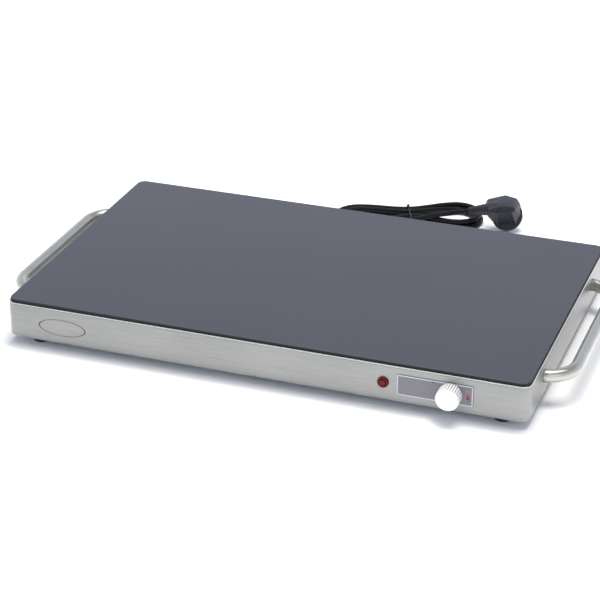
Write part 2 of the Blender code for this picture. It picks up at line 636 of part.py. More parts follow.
def build_element(steel, clamp_steel, sheath):
    """Tray under the flanges, serpentine element in it and the straps that hold the element."""
    bm = bmesh.new()
    bmesh.ops.create_cube(bm, size=1.0)
    bmesh.ops.scale(bm, vec=(TRAY_LENGTH, TRAY_DEPTH, TRAY_DROP - TRAY_SHEET), verts=bm.verts)
    upright = [e for e in bm.edges if abs(e.verts[0].co.z - e.verts[1].co.z) > TRAY_DROP / 2]
    bmesh.ops.bevel(bm, geom=upright, offset=TRAY_CORNER, segments=3, profile=0.5, affect="EDGES")
    lid = max(bm.faces, key=lambda f: f.calc_center_median().z)
    bmesh.ops.delete(bm, geom=[lid], context="FACES")
    rim_reach = END - SHELL_SHEET - TRAY_RIM_GAP - TRAY_LENGTH / 2
    for side in (-1, 1):
        edge = [e for e in bm.edges if e.is_boundary
                and all(abs(v.co.x - side * TRAY_LENGTH / 2) < FIT for v in e.verts)]
        grown = bmesh.ops.extrude_edge_only(bm, edges=edge)["geom"]
        verts = [g for g in grown if isinstance(g, bmesh.types.BMVert)]
        bmesh.ops.translate(bm, verts=verts, vec=(side * rim_reach, 0, 0))
    tray = place("element_tray", mesh_of("element_tray", bm), steel,
                 (0, BODY_Y, TRAY_TOP - (TRAY_DROP + TRAY_SHEET) / 2))
    if max(tray.data.polygons, key=lambda f: f.area).normal.z > 0:
        tray.data.flip_normals()
    sheet = tray.modifiers.new("sheet", "SOLIDIFY")
    sheet.thickness = TRAY_SHEET
    sheet.offset = -1
    first, last = element_ends()
    notch_length = ELEMENT_COLD_END + TRAY_SHEET + 2 * OVERRUN
    notch_height = ELEMENT_DIAMETER + OVERRUN
    for y in (first, last):
        notch = block("cold_end_notch", (notch_length, ELEMENT_DIAMETER + 4 * FIT, notch_height))
        cut(tray, cutter("cold_end_notch", notch,
                         (TRAY_LENGTH / 2 - TRAY_SHEET - OVERRUN + notch_length / 2, y,
                          ELEMENT_HEIGHT - ELEMENT_RADIUS - 2 * FIT + notch_height / 2)))
    cut(tray, drill("capillary_hole", CAPILLARY_DIAMETER, TRAY_SHEET + 2 * OVERRUN,
                    (KNOB_X, BODY_Y - TRAY_DEPTH / 2 - OVERRUN, ELEMENT_HEIGHT - ELEMENT_RADIUS),
                    TO_REAR, sides=12))

    bend = ELEMENT_PITCH / 2
    left = -TRAY_LENGTH / 2 + TRAY_SHEET + ELEMENT_END_MARGIN + bend
    right = TRAY_LENGTH / 2 - TRAY_SHEET - ELEMENT_END_MARGIN - bend
    path = [(TRAY_LENGTH / 2 + ELEMENT_COLD_END, first)]
    for run in range(ELEMENT_RUNS - 1):
        leftwards = run % 2 == 0
        x = left if leftwards else right
        y = first + run * ELEMENT_PITCH + bend
        for i in range(ELEMENT_BEND_STEPS + 1):
            angle = -QUARTER_TURN + HALF_TURN * i / ELEMENT_BEND_STEPS
            path.append((x + (-1 if leftwards else 1) * bend * math.cos(angle), y + bend * math.sin(angle)))
    path.append((TRAY_LENGTH / 2 + ELEMENT_COLD_END, last))
    tube("heating_element", [(x, y, ELEMENT_HEIGHT) for x, y in path], ELEMENT_DIAMETER, sheath)

    half = TRAY_DEPTH / 2 - TRAY_SHEET - CLAMP_SIDE_GAP
    rise = SPREADER_BOTTOM - FIT - CLAMP_TOP
    for number in range(CLAMP_COUNT):
        bm = bmesh.new()
        corners = [bm.verts.new((-CLAMP_WIDTH / 2, y, z)) for y, z in
                   ((-half, rise), (-half, 0), (half, 0), (half, rise))]
        edges = [bm.edges.new(pair) for pair in zip(corners, corners[1:])]
        grown = bmesh.ops.extrude_edge_only(bm, edges=edges)["geom"]
        bmesh.ops.translate(bm, vec=(CLAMP_WIDTH, 0, 0),
                            verts=[g for g in grown if isinstance(g, bmesh.types.BMVert)])
        strap = place(("element_clamp_left", "element_clamp_middle", "element_clamp_right")[number],
                      mesh_of("element_clamp", bm), clamp_steel,
                      ((2 * number / (CLAMP_COUNT - 1) - 1) * (END - CLAMP_FROM_END), BODY_Y, CLAMP_TOP))
        if min(strap.data.polygons, key=lambda f: f.center.z).normal.z < 0:
            strap.data.flip_normals()
        sheet = strap.modifiers.new("sheet", "SOLIDIFY")
        sheet.thickness = CLAMP_SHEET
        sheet.offset = -1


def build_insulation(wool):
    """Ceramic wool mat that fills the tray under the element."""
    thickness = MAT_TOP - TRAY_FLOOR - TRAY_SHEET - FIT
    place("insulation_mat",
          block("insulation_mat", (TRAY_LENGTH - 2 * TRAY_SHEET - 2 * FIT,
                                   TRAY_DEPTH - 2 * TRAY_SHEET - 2 * FIT, thickness), TRAY_CORNER),
          wool, (0, BODY_Y, MAT_TOP - thickness / 2))


def step_block(name, below):
    """Block with slanting sides for the base plate's pressed step, and its height."""
    height = BASE_STEP_RISE + below
    inset = BASE_MARGIN + BASE_STEP_INSET + BASE_STEP_RUN
    mesh = block(name, (BODY_LENGTH - 2 * inset, BODY_DEPTH - 2 * inset, height), SHELL_CORNER)
    spread = BASE_STEP_RUN * height / BASE_STEP_RISE
    for vertex in mesh.vertices:
        if vertex.co.z < 0:
            vertex.co.x += math.copysign(spread, vertex.co.x)
            vertex.co.y += math.copysign(spread, vertex.co.y)
    return mesh, height


def build_base(galvanised, rubber, zinc):
    """Pressed base plate with vents, its screws, and the rubber feet with theirs."""
    length, depth = BODY_LENGTH - 2 * BASE_MARGIN, BODY_DEPTH - 2 * BASE_MARGIN
    plate = place("base_plate", block("base_plate", (length, depth, BASE_SHEET), SHELL_CORNER - BASE_MARGIN),
                  galvanised, (0, BODY_Y, BASE_TOP - BASE_SHEET / 2))
    raised, height = step_block("raised_step", BASE_SHEET / 2)
    cut(plate, cutter("raised_step", raised, (0, BODY_Y, BASE_TOP + BASE_STEP_RISE - height / 2)), "UNION")
    hollow, height = step_block("step_hollow", OVERRUN)
    cut(plate, cutter("step_hollow", hollow, (0, BODY_Y, BASE_BOTTOM + BASE_STEP_RISE - height / 2)))
    deep = BASE_SHEET + BASE_STEP_RISE + 2 * OVERRUN
    for group in (-1, 1):
        for i in range(VENT_COUNT):
            slot = block("vent_slot", (VENT_WIDTH, VENT_LENGTH, deep), VENT_WIDTH / 2 - FIT / 10, steps=3)
            x = group * VENT_GROUP_SHARE * BODY_LENGTH + (i - (VENT_COUNT - 1) / 2) * VENT_PITCH
            cut(plate, cutter("vent_slot", slot, (x, BODY_Y, BASE_BOTTOM - OVERRUN + deep / 2)))
    for x, y in base_screw_places():
        cut(plate, drill("base_hole", BASE_SCREW_RADIUS + FIT, deep, (x, y, BASE_BOTTOM - OVERRUN), sides=12))
    for _, x, y in foot_places():
        cut(plate, drill("foot_hole", FOOT_SCREW_RADIUS + FIT, deep, (x, y, BASE_BOTTOM - OVERRUN), sides=12))

    screw = [(0, BASE_SCREW_LENGTH), (BASE_SCREW_RADIUS, BASE_SCREW_LENGTH), (BASE_SCREW_RADIUS, 0),
             (BASE_SCREW_HEAD, 0), (BASE_SCREW_HEAD * 0.7, -BASE_SCREW_HEAD_HEIGHT),
             (0, -BASE_SCREW_HEAD_HEIGHT)]
    for side, (x, y) in zip(("front", "rear", "left", "right"), base_screw_places()):
        turned("base_screw_" + side, screw, zinc, (x, y, BASE_BOTTOM - FIT), steps=12)

    height = BASE_BOTTOM - FIT
    hole = FOOT_SCREW_RADIUS + FIT
    foot = [(hole, height), (FOOT_TOP_RADIUS, height), (FOOT_RADIUS, FOOT_EDGE * 2),
            (FOOT_RADIUS - FOOT_EDGE * 0.3, FOOT_EDGE * 0.6), (FOOT_RADIUS - FOOT_EDGE, 0),
            (FOOT_POCKET_RADIUS, 0), (FOOT_POCKET_RADIUS, FOOT_POCKET_DEPTH), (hole, FOOT_POCKET_DEPTH)]
    head = FOOT_POCKET_DEPTH - FIT
    shank = [(0, FOOT_SCREW_LENGTH), (FOOT_SCREW_RADIUS, FOOT_SCREW_LENGTH), (FOOT_SCREW_RADIUS, 0),
             (FOOT_SCREW_HEAD, 0), (FOOT_SCREW_HEAD * 0.75, -FOOT_SCREW_HEAD_HEIGHT),
             (0, -FOOT_SCREW_HEAD_HEIGHT)]
    for corner, x, y in foot_places():
        turned("foot_" + corner, foot, rubber, (x, y, 0), steps=18, ring=True)
        turned("foot_screw_" + corner, shank, zinc, (x, y, head), steps=12)


def build_handles(steel, zinc):
    """Bent bars on the short sides, each held from inside by two screws."""
    foot = handle_foot()
    screw = [(0, HANDLE_SCREW_GRIP + SHELL_SHEET), (HANDLE_SCREW_RADIUS, HANDLE_SCREW_GRIP + SHELL_SHEET),
             (HANDLE_SCREW_RADIUS, 0), (HANDLE_SCREW_HEAD, 0),
             (HANDLE_SCREW_HEAD * 0.8, -HANDLE_SCREW_HEAD_HEIGHT), (0, -HANDLE_SCREW_HEAD_HEIGHT)]
    for name, side, turn in (("left", -1, TO_LEFT), ("right", 1, TO_RIGHT)):
        bar = settle(tube("handle_" + name, handle_path(side), HANDLE_DIAMETER, steel, sides=5))
        for end, way in (("front", -1), ("rear", 1)):
            height = CONTROL_HEIGHT + HANDLE_RISE
            y = BODY_Y + way * foot
            cut(bar, drill("handle_bore", HANDLE_SCREW_RADIUS + FIT, HANDLE_SCREW_GRIP + 2 * FIT + OVERRUN,
                           (side * (END - OVERRUN), y, height), turn, sides=14))
            turned("handle_screw_%s_%s" % (name, end), screw, zinc,
                   (side * (END - SHELL_SHEET - FIT), y, height), turn, steps=12)


def knob_ring(ring, height, radius, fluted):
    """Set a ring of vertices at a height, either round or with narrow grooves between ribs."""
    for vertex in ring:
        angle = math.atan2(vertex.co.y, vertex.co.x)
        wave = 0.5 + 0.5 * math.cos(KNOB_FLUTES * angle)
        reach = radius - (KNOB_FLUTE_DEPTH * wave ** 2 if fluted else 0)
        vertex.co = (reach * math.cos(angle), reach * math.sin(angle), height)


def build_knob(metal, steel, zinc, bakelite):
    """Knob and shaft on the joint's axis, and the thermostat and nut that carry them."""
    axis = bpy.data.objects.new("knob_axis", None)
    bpy.data.collections[PART_COLLECTION].objects.link(axis)
    axis.location = (KNOB_X, FRONT, CONTROL_HEIGHT)
    axis.rotation_euler = TO_FRONT

    top = KNOB_REACH
    levels = [(KNOB_STANDOFF, KNOB_RADIUS - KNOB_FACE_CHAMFER / 2, False),
              (KNOB_STANDOFF + KNOB_FACE_CHAMFER, KNOB_RADIUS, True),
              (top - KNOB_FACE_CHAMFER, KNOB_RADIUS, True),
              (top, KNOB_RADIUS - KNOB_FACE_CHAMFER, False)]
    bm = bmesh.new()
    bmesh.ops.create_circle(bm, cap_ends=True, segments=KNOB_FLUTES * KNOB_POINTS_PER_FLUTE,
                            radius=KNOB_RADIUS)
    knob_ring(bm.verts, *levels[0])
    face = next(iter(bm.faces))
    for number, level in enumerate(levels[1:]):
        grown = bmesh.ops.extrude_face_region(bm, geom=[face])["geom"]
        if number:
            bmesh.ops.delete(bm, geom=[face], context="FACES_ONLY")
        face = next(g for g in grown if isinstance(g, bmesh.types.BMFace))
        knob_ring(face.verts, *level)
    bmesh.ops.inset_region(bm, faces=[face], thickness=KNOB_FACE_RIM, use_even_offset=False)
    bmesh.ops.inset_region(bm, faces=[face], thickness=KNOB_FACE_DISH, depth=-KNOB_FACE_DISH)
    knob = place("control_knob", mesh_of("control_knob", bm), metal)
    knob.parent = axis
    front_end = KNOB_STANDOFF + KNOB_SKIRT_DEPTH + SHAFT_ENTRY
    cut(knob, drill("knob_skirt", KNOB_SKIRT_RADIUS, KNOB_SKIRT_DEPTH + OVERRUN,
                    (KNOB_X, FRONT - KNOB_STANDOFF + OVERRUN, CONTROL_HEIGHT), TO_FRONT, sides=28))
    cut(knob, drill("knob_bore", SHAFT_RADIUS + FIT, front_end + FIT - KNOB_STANDOFF + OVERRUN,
                    (KNOB_X, FRONT - KNOB_STANDOFF + OVERRUN, CONTROL_HEIGHT), TO_FRONT, sides=20))

    back_end = SHELL_SHEET + FIT + THERMOSTAT_SOCKET
    shaft = turned("thermostat_shaft", rod(SHAFT_RADIUS, front_end + back_end), steel,
                   (0, 0, -back_end), steps=20)
    shaft.parent = axis
    flat_length = KNOB_SKIRT_DEPTH + SHAFT_ENTRY
    flat = block("shaft_flat", (2 * SHAFT_RADIUS, SHAFT_FLAT_DEPTH * 2, flat_length + OVERRUN))
    cut(shaft, cutter("shaft_flat", flat, (KNOB_X, FRONT - front_end + (flat_length - OVERRUN) / 2,
                                           CONTROL_HEIGHT + SHAFT_RADIUS), TO_FRONT))

    body_front = INNER_FRONT + FIT
    body = place("thermostat_body",
                 block("thermostat_body", (THERMOSTAT_WIDTH, THERMOSTAT_HEIGHT, THERMOSTAT_DEPTH),
                       THERMOSTAT_CORNER),
                 bakelite, (KNOB_X, body_front + THERMOSTAT_DEPTH / 2, CONTROL_HEIGHT), TO_FRONT)
    nut_back = -LABEL_FACE + FRONT + FIT
    nut_front = nut_back + NUT_THICKNESS
    bushing = turned("bushing", rod(BUSHING_RADIUS, nut_front + SHELL_SHEET + FIT + OVERRUN), bakelite,
                     (KNOB_X, body_front + OVERRUN, CONTROL_HEIGHT), TO_FRONT, steps=20)
    cut(body, hide_tool(bushing), "UNION")
    for way in (-1, 1):
        blade = block("blade", (BLADE_THICKNESS, BLADE_LENGTH + BLADE_ROOT, BLADE_WIDTH))
        cut(body, cutter("blade", blade, (KNOB_X + way * BLADE_OFFSET,
                                          body_front + THERMOSTAT_DEPTH + (BLADE_LENGTH - BLADE_ROOT) / 2,
                                          CONTROL_HEIGHT)), "UNION")
    cut(body, drill("shaft_socket", SHAFT_RADIUS + FIT, nut_front + back_end + FIT + OVERRUN,
                    (KNOB_X, FRONT - nut_front - OVERRUN, CONTROL_HEIGHT), TO_REAR, sides=20))
    flat_curve("thermostat_nut",
               [ring_points(NUT_ACROSS_CORNERS / 2, 6), ring_points(BUSHING_RADIUS + FIT, 20)],
               NUT_THICKNESS, zinc, (KNOB_X, FRONT - nut_back - NUT_THICKNESS / 2, CONTROL_HEIGHT), TO_FRONT)


def build_front_trim(printed, red, bakelite):
    """Control label, and the pilot lamp's lens and body."""
    x = END - LABEL_FROM_END - LABEL_LENGTH / 2
    flat_curve("control_label",
               [outline(LABEL_LENGTH, LABEL_HEIGHT, LABEL_CORNER),
                ring_points(BUSHING_RADIUS + BUSHING_WALL_GAP, 24, (KNOB_X - x, 0))],
               LABEL_THICKNESS, printed, (x, LABEL_FACE + LABEL_THICKNESS / 2, CONTROL_HEIGHT), TO_FRONT)
    crown = LENS_RIM + LENS_CROWN
    lens = [(0, crown), (LENS_RADIUS * 0.45, crown - LENS_CROWN * 0.12),
            (LENS_RADIUS * 0.75, crown - LENS_CROWN * 0.42),
            (LENS_RADIUS * 0.93, crown - LENS_CROWN * 0.78), (LENS_RADIUS, LENS_RIM), (LENS_RADIUS, FIT),
            (LENS_STEM_RADIUS, FIT), (LENS_STEM_RADIUS, -SHELL_SHEET), (0, -SHELL_SHEET)]
    turned("pilot_lamp_lens", lens, red, (LAMP_X, FRONT, CONTROL_HEIGHT), TO_FRONT)
    body = [(0, 0), (LAMP_FLANGE_RADIUS, 0), (LAMP_FLANGE_RADIUS, -LAMP_FLANGE_HEIGHT),
            (LAMP_BARREL_RADIUS, -LAMP_FLANGE_HEIGHT), (LAMP_BARREL_RADIUS, -LAMP_BARREL_LENGTH),
            (0, -LAMP_BARREL_LENGTH)]
    turned("pilot_lamp_body", body, bakelite, (LAMP_X, INNER_FRONT + FIT, CONTROL_HEIGHT), TO_FRONT, steps=20)


def gland_tip():
    """Y of the outer mouth of the cord bushing."""
    return REAR + FIT + GLAND_FLANGE_HEIGHT + GLAND_TAPER_LENGTH


def build_supply(rubber, ceramic, zinc):
    """Tapered cord bushing, terminal block and earth stud in the rear bay."""
    bore = CORD_DIAMETER / 2 + FIT
    root = FIT + GLAND_FLANGE_HEIGHT
    profile = [(bore, root + GLAND_TAPER_LENGTH), (GLAND_TIP_RADIUS, root + GLAND_TAPER_LENGTH)]
    pitch = GLAND_TAPER_LENGTH / (GLAND_GROOVES + 1)
    for groove in range(GLAND_GROOVES):
        start = root + GLAND_TAPER_LENGTH - pitch * (groove + GLAND_GROOVE_SHARE)
        end = root + GLAND_TAPER_LENGTH - pitch * (groove + 1)
        for height, depths in ((start, (0, GLAND_GROOVE_DEPTH)), (end, (GLAND_GROOVE_DEPTH, 0))):
            share = (root + GLAND_TAPER_LENGTH - height) / GLAND_TAPER_LENGTH
            radius = GLAND_TIP_RADIUS + (GLAND_ROOT_RADIUS - GLAND_TIP_RADIUS) * share
            profile += [(radius - depth, height) for depth in depths]
    profile += [(GLAND_ROOT_RADIUS, root), (GLAND_FLANGE_RADIUS, root), (GLAND_FLANGE_RADIUS, FIT),
                (GLAND_INNER_RADIUS, FIT), (GLAND_INNER_RADIUS, -SHELL_SHEET - GLAND_INNER_LENGTH),
                (bore, -SHELL_SHEET - GLAND_INNER_LENGTH)]
    turned("cord_bushing", profile, rubber, (GLAND_X, REAR, CONTROL_HEIGHT), TO_REAR, steps=16, ring=True)

    floor = BASE_TOP + FIT
    x = GLAND_X + BLOCK_FROM_GLAND
    y = INNER_REAR - BLOCK_FROM_WALL - BLOCK_DEPTH / 2
    base = place("terminal_block", block("terminal_block", (BLOCK_LENGTH, BLOCK_DEPTH, BLOCK_HEIGHT)),
                 ceramic, (x, y, floor + BLOCK_HEIGHT / 2))
    pole_pitch = BLOCK_LENGTH / BLOCK_POLES
    for pole in range(BLOCK_POLES):
        px = x + (pole - (BLOCK_POLES - 1) / 2) * pole_pitch
        for way in (-1, 1):
            py = y + way * BLOCK_DEPTH / 4
            tower = turned("tower", rod(BLOCK_TOWER_RADIUS, BLOCK_TOWER_HEIGHT + OVERRUN), ceramic,
                           (px, py, floor + BLOCK_HEIGHT - OVERRUN), steps=12)
            cut(base, hide_tool(tower), "UNION")
            cut(base, drill("terminal_screw_hole", BLOCK_SCREW_HOLE, BLOCK_TOWER_HEIGHT + 2 * OVERRUN,
                            (px, py, floor + BLOCK_HEIGHT - FIT), sides=8))
            cut(base, drill("terminal_wire_hole", BLOCK_WIRE_HOLE, BLOCK_HOLE_DEPTH + OVERRUN,
                            (px, y + way * (BLOCK_DEPTH / 2 + OVERRUN), floor + BLOCK_HEIGHT / 2),
                            TO_FRONT if way > 0 else TO_REAR, sides=8))

    stud = turned("earth_stud", rod(STUD_RADIUS, STUD_HEIGHT), zinc,
                  (GLAND_X - STUD_FROM_GLAND, INNER_REAR - STUD_FROM_WALL, floor), steps=12)
    nut = drill("earth_nut", STUD_NUT_CORNERS / 2, STUD_NUT_HEIGHT, stud.location, sides=6)
    cut(stud, nut, "UNION")


def wire(name, colour, start, out, middle, end, back, step=WIRE_STEP):
    """A wire that leaves its first terminal straight along out and meets its last along back."""
    start, end, out, back = Vector(start), Vector(end), Vector(out), Vector(back)
    swing = smooth_route([start + out * WIRE_STRAIGHT] + middle + [end + back * WIRE_STRAIGHT], step)
    tube(name, [start] + swing + [end], WIRE_DIAMETER, colour, sides=1)


def build_wiring(brown, blue, green):
    """Wires between the bushing, terminal block, earth stud, thermostat, lamp and element."""
    step_top = BASE_TOP + BASE_STEP_RISE
    low = step_top + LANE_LOW_SHARE * (TRAY_FLOOR - step_top)
    high = step_top + LANE_HIGH_SHARE * (TRAY_FLOOR - step_top)
    block_x = GLAND_X + BLOCK_FROM_GLAND
    block_rear = INNER_REAR - BLOCK_FROM_WALL
    block_front = block_rear - BLOCK_DEPTH
    entry = BASE_TOP + FIT + BLOCK_HEIGHT / 2
    pole = BLOCK_LENGTH / BLOCK_POLES
    rear_end, front_end = block_rear - WIRE_ENTRY, block_front + WIRE_ENTRY
    mouth = INNER_REAR - GLAND_INNER_LENGTH - WIRE_GAP
    tray_front, tray_rear = BODY_Y - TRAY_DEPTH / 2, BODY_Y + TRAY_DEPTH / 2
    first, last = element_ends()
    cold = TRAY_LENGTH / 2 + ELEMENT_COLD_END + WIRE_GAP
    side = END - LANE_END
    blade_y = INNER_FRONT + FIT + THERMOSTAT_DEPTH + BLADE_LENGTH + WIRE_GAP
    lamp_back = INNER_FRONT + FIT + LAMP_BARREL_LENGTH + WIRE_GAP
    apart = WIRE_DIAMETER / 2 + FIT
    slack = LANE_SLACK
    forward, rearward, leftward, rightward = (0, -1, 0), (0, 1, 0), (-1, 0, 0), (1, 0, 0)
    left_blade, right_blade = KNOB_X - BLADE_OFFSET, KNOB_X + BLADE_OFFSET

    wire("supply_wire_live", brown, (GLAND_X + apart, mouth, CONTROL_HEIGHT + apart), forward,
         [Vector((GLAND_X + slack * 1.4, block_rear + slack * 0.8, (CONTROL_HEIGHT + entry) / 2)),
          Vector((block_x - pole - slack, block_rear + slack * 0.75, entry + WIRE_DIAMETER / 2))],
         (block_x - pole, rear_end, entry), rearward, WIRE_SHORT_STEP)
    wire("supply_wire_neutral", blue, (GLAND_X + apart, mouth, CONTROL_HEIGHT - apart), forward,
         [Vector((GLAND_X + slack * 1.6, block_rear + slack * 1.15,
                  (CONTROL_HEIGHT + entry) / 2 - apart)),
          Vector((block_x - pole, block_rear + slack * 1.1, entry))],
         (block_x, rear_end, entry), rearward, WIRE_SHORT_STEP)
    stud_x, stud_y = GLAND_X - STUD_FROM_GLAND, INNER_REAR - STUD_FROM_WALL
    wire("earth_wire", green, (GLAND_X - apart, mouth, CONTROL_HEIGHT), forward,
         [Vector((GLAND_X - slack * 0.8, stud_y + slack * 0.3, (CONTROL_HEIGHT + entry) / 2))],
         (stud_x + STUD_RADIUS + WIRE_GAP, stud_y, BASE_TOP + STUD_NUT_HEIGHT + WIRE_DIAMETER), rightward,
         WIRE_SHORT_STEP)
    wire("live_wire", brown, (block_x - pole, front_end, entry), forward,
         [Vector((block_x - pole + slack / 2, tray_rear - slack, low)), Vector((0, BODY_Y, low)),
          Vector((left_blade - LANE_UNDER * 2, tray_front + LANE_UNDER * 1.5, low)),
          Vector((left_blade - slack / 2, tray_front + LANE_UNDER, low))],
         (left_blade, blade_y, CONTROL_HEIGHT), rearward)
    wire("neutral_wire", blue, (block_x, front_end, entry), forward,
         [Vector((block_x + pole, block_front - slack, low)), Vector((0, tray_rear - slack, low)),
          Vector((side - slack * 3, tray_rear - slack, low)),
          Vector((side, last + slack * 2, (low + ELEMENT_HEIGHT) / 2)),
          Vector((side, last + slack * 0.8, ELEMENT_HEIGHT - slack * 0.4))],
         (cold, last, ELEMENT_HEIGHT), rightward)
    wire("element_wire", brown, (right_blade, blade_y, CONTROL_HEIGHT), rearward,
         [Vector((right_blade + slack * 2.5, tray_front - slack, CONTROL_HEIGHT - slack * 0.2)),
          Vector((side - slack, tray_front - slack * 0.8, CONTROL_HEIGHT)),
          Vector((side, first - slack * 2, (CONTROL_HEIGHT + ELEMENT_HEIGHT) / 2)),
          Vector((side, first - slack * 0.8, ELEMENT_HEIGHT - slack * 0.4))],
         (cold, first, ELEMENT_HEIGHT), rightward, WIRE_SHORT_STEP)
    wire("lamp_wire_live", brown, (LAMP_X + apart, lamp_back, CONTROL_HEIGHT), rearward,
         [Vector(((LAMP_X + left_blade) / 2, lamp_back + slack * 1.2, CONTROL_HEIGHT - slack * 0.8))],
         (left_blade - BLADE_THICKNESS / 2 - WIRE_GAP, blade_y - BLADE_LENGTH / 2, CONTROL_HEIGHT), leftward,
         WIRE_SHORT_STEP)
    wire("lamp_wire_neutral", blue, (LAMP_X - apart, lamp_back, CONTROL_HEIGHT), rearward,
         [Vector((LAMP_X - LANE_UNDER, tray_front + LANE_UNDER, high)),
          Vector((block_x + pole + slack * 6, tray_rear - slack * 4, high)),
          Vector((block_x + pole, block_front - slack, high))],
         (block_x + pole, front_end, entry), forward)


def build_sensor(copper):
    """Bulb under the spreader and the capillary that joins it to the thermostat."""
    first, _ = element_ends()
    bulb_x, bulb_y = END - BULB_FROM_END, first + ELEMENT_PITCH / 2
    radius = BULB_DIAMETER / 2
    height = SPREADER_BOTTOM - FIT - radius
    bulb = [(0, 0), (BULB_NIPPLE, 0), (radius, -radius), (radius, -BULB_LENGTH + radius),
            (radius / 2, -BULB_LENGTH), (0, -BULB_LENGTH)]
    turned("sensor_bulb", bulb, copper, (bulb_x, bulb_y, height), TO_RIGHT, steps=12)
    below = ELEMENT_HEIGHT - ELEMENT_RADIUS
    tray_front = BODY_Y - TRAY_DEPTH / 2
    inlet = INNER_FRONT + FIT + THERMOSTAT_DEPTH + FIT
    rise = CONTROL_HEIGHT + CAPILLARY_RISE
    across = KNOB_X - bulb_x
    route = [Vector((bulb_x + FIT, bulb_y, height)), Vector((bulb_x + across / 3, bulb_y, height)),
             Vector((bulb_x + across * 0.7, bulb_y - ELEMENT_PITCH / 10, below - FIT * 2)),
             Vector((KNOB_X - FIT, first + ELEMENT_RADIUS * 1.8, below - CAPILLARY_DIAMETER * 0.8)),
             Vector((KNOB_X, first - ELEMENT_RADIUS * 2.5, below - CAPILLARY_DIAMETER / 2)),
             Vector((KNOB_X, tray_front, below)),
             Vector((KNOB_X, (tray_front + inlet) / 2, (below + rise) / 2)),
             Vector((KNOB_X, inlet + CAPILLARY_DIAMETER * 2, rise))]
    tube("capillary_tube", smooth_route(route, CAPILLARY_STEP) + [Vector((KNOB_X, inlet, rise))],
         CAPILLARY_DIAMETER, copper, sides=1)


def hank_world(u, v, w):
    """A place in the hank's own frame, long axis first, turned into the world."""
    return Vector((GLAND_X + HANK_FROM_GLAND[0] + u * math.cos(HANK_TURN) - v * math.sin(HANK_TURN),
                   REAR + HANK_FROM_GLAND[1] + u * math.sin(HANK_TURN) + v * math.cos(HANK_TURN), w))


def hank_point(turns):
    """Middle line of the hank after a number of turns, from its near left end.

    Each turn is a near run, the right fold, a far run and the left fold. The loops spiral in on
    the lower layer and out again on the upper one, and climb along a run.
    """
    whole = math.floor(turns)
    part = (turns - whole) * 4
    spread = abs(turns - HANK_LOOPS / 2) * HANK_LOOP_STEP
    radius = HANK_FOLD_RADIUS + spread
    waist = HANK_LOOP_STEP / 2 + spread
    run = int(part)
    share = part - run
    if run in (0, 2):
        u = (share - 0.5) * HANK_RUN * (1 if run == 0 else -1)
        draw = math.cos(HALF_TURN * u / HANK_RUN) ** 2
        v = (radius - (radius - waist) * draw) * (-1 if run == 0 else 1)
        lift = HANK_TIE_LIFT * draw
    else:
        angle = (share - 0.5) * HALF_TURN
        side = 1 if run == 1 else -1
        u = side * (HANK_RUN / 2 + radius * math.cos(angle))
        v = side * radius * math.sin(angle)
        lift = 0
    climb = min(max((turns - HANK_LOOPS / 2) * 4 + 0.5, 0), 1)
    rise = HANK_LAYER_STEP * climb * climb * (3 - 2 * climb)
    return u, v, HANK_FLOOR_GAP + CORD_DIAMETER / 2 + lift + rise


def hank_path():
    """Points of the whole hank: the loops, then the end that crosses over to the plug."""
    steps = []
    runs = HANK_POINTS_PER_LOOP // 2 - HANK_FOLD_POINTS
    for turn in range(int(HANK_LOOPS)):
        for quarter, count in ((0, runs), (1, HANK_FOLD_POINTS), (2, runs), (3, HANK_FOLD_POINTS)):
            steps += [turn + (quarter + i / count) / 4 for i in range(count)]
    points = [hank_world(*hank_point(t)) for t in steps if t < HANK_LOOPS]
    points += [hank_world(*hank_point(HANK_LOOPS + i / runs / 4)) for i in range(runs // 2 + 1)]
    plug = plug_frame()
    meet = plug["neck"] - plug["along"] * FIT
    tail = [hank_world(*place_in_hank) for place_in_hank in HANK_TAIL_ROUTE]
    tail += [meet - plug["along"] * CORD_DIAMETER * 2, meet - plug["along"] * CORD_DIAMETER, meet]
    return points[:-1] + smooth_route(points[-1:] + tail, HANK_TAIL_STEP)


def least_gap(points, diameter):
    """Least gap of a tube to itself, measured along its middle line."""
    fine = []
    reach = 0.0
    for p, q in zip(points, points[1:]):
        count = max(1, math.ceil((q - p).length / (diameter / 3)))
        for i in range(count):
            fine.append((reach + (q - p).length * i / count, p.lerp(q, i / count)))
        reach += (q - p).length
    least = math.inf
    for i, (s, p) in enumerate(fine):
        for t, q in fine[i + 1:]:
            if t - s > 4 * diameter:
                least = min(least, (q - p).length - diameter)
    return least, reach


def cord_route():
    """Points of the free stretch, from the bushing down to the floor and along to the hank."""
    x, y, z = GLAND_X, gland_tip() + FIT, CONTROL_HEIGHT
    floor = HANK_FLOOR_GAP + CORD_DIAMETER / 2
    start = hank_world(*hank_point(0))
    ahead = (hank_path()[1] - start).normalized()
    meet = start - ahead * FIT
    route = [(x, y, z), (x, y + CORD_DIAMETER, z)]
    route += [(x + dx, y + dy, floor + dz) for dx, dy, dz in CORD_DROP_ROUTE]
    route = smooth_route(route[1:] + [meet - ahead * CORD_RUN_IN, meet - ahead * CORD_DIAMETER], CORD_STEP)
    for point in route:
        point.z = max(point.z, floor)
    return [Vector((x, y, z))] + route + [meet]


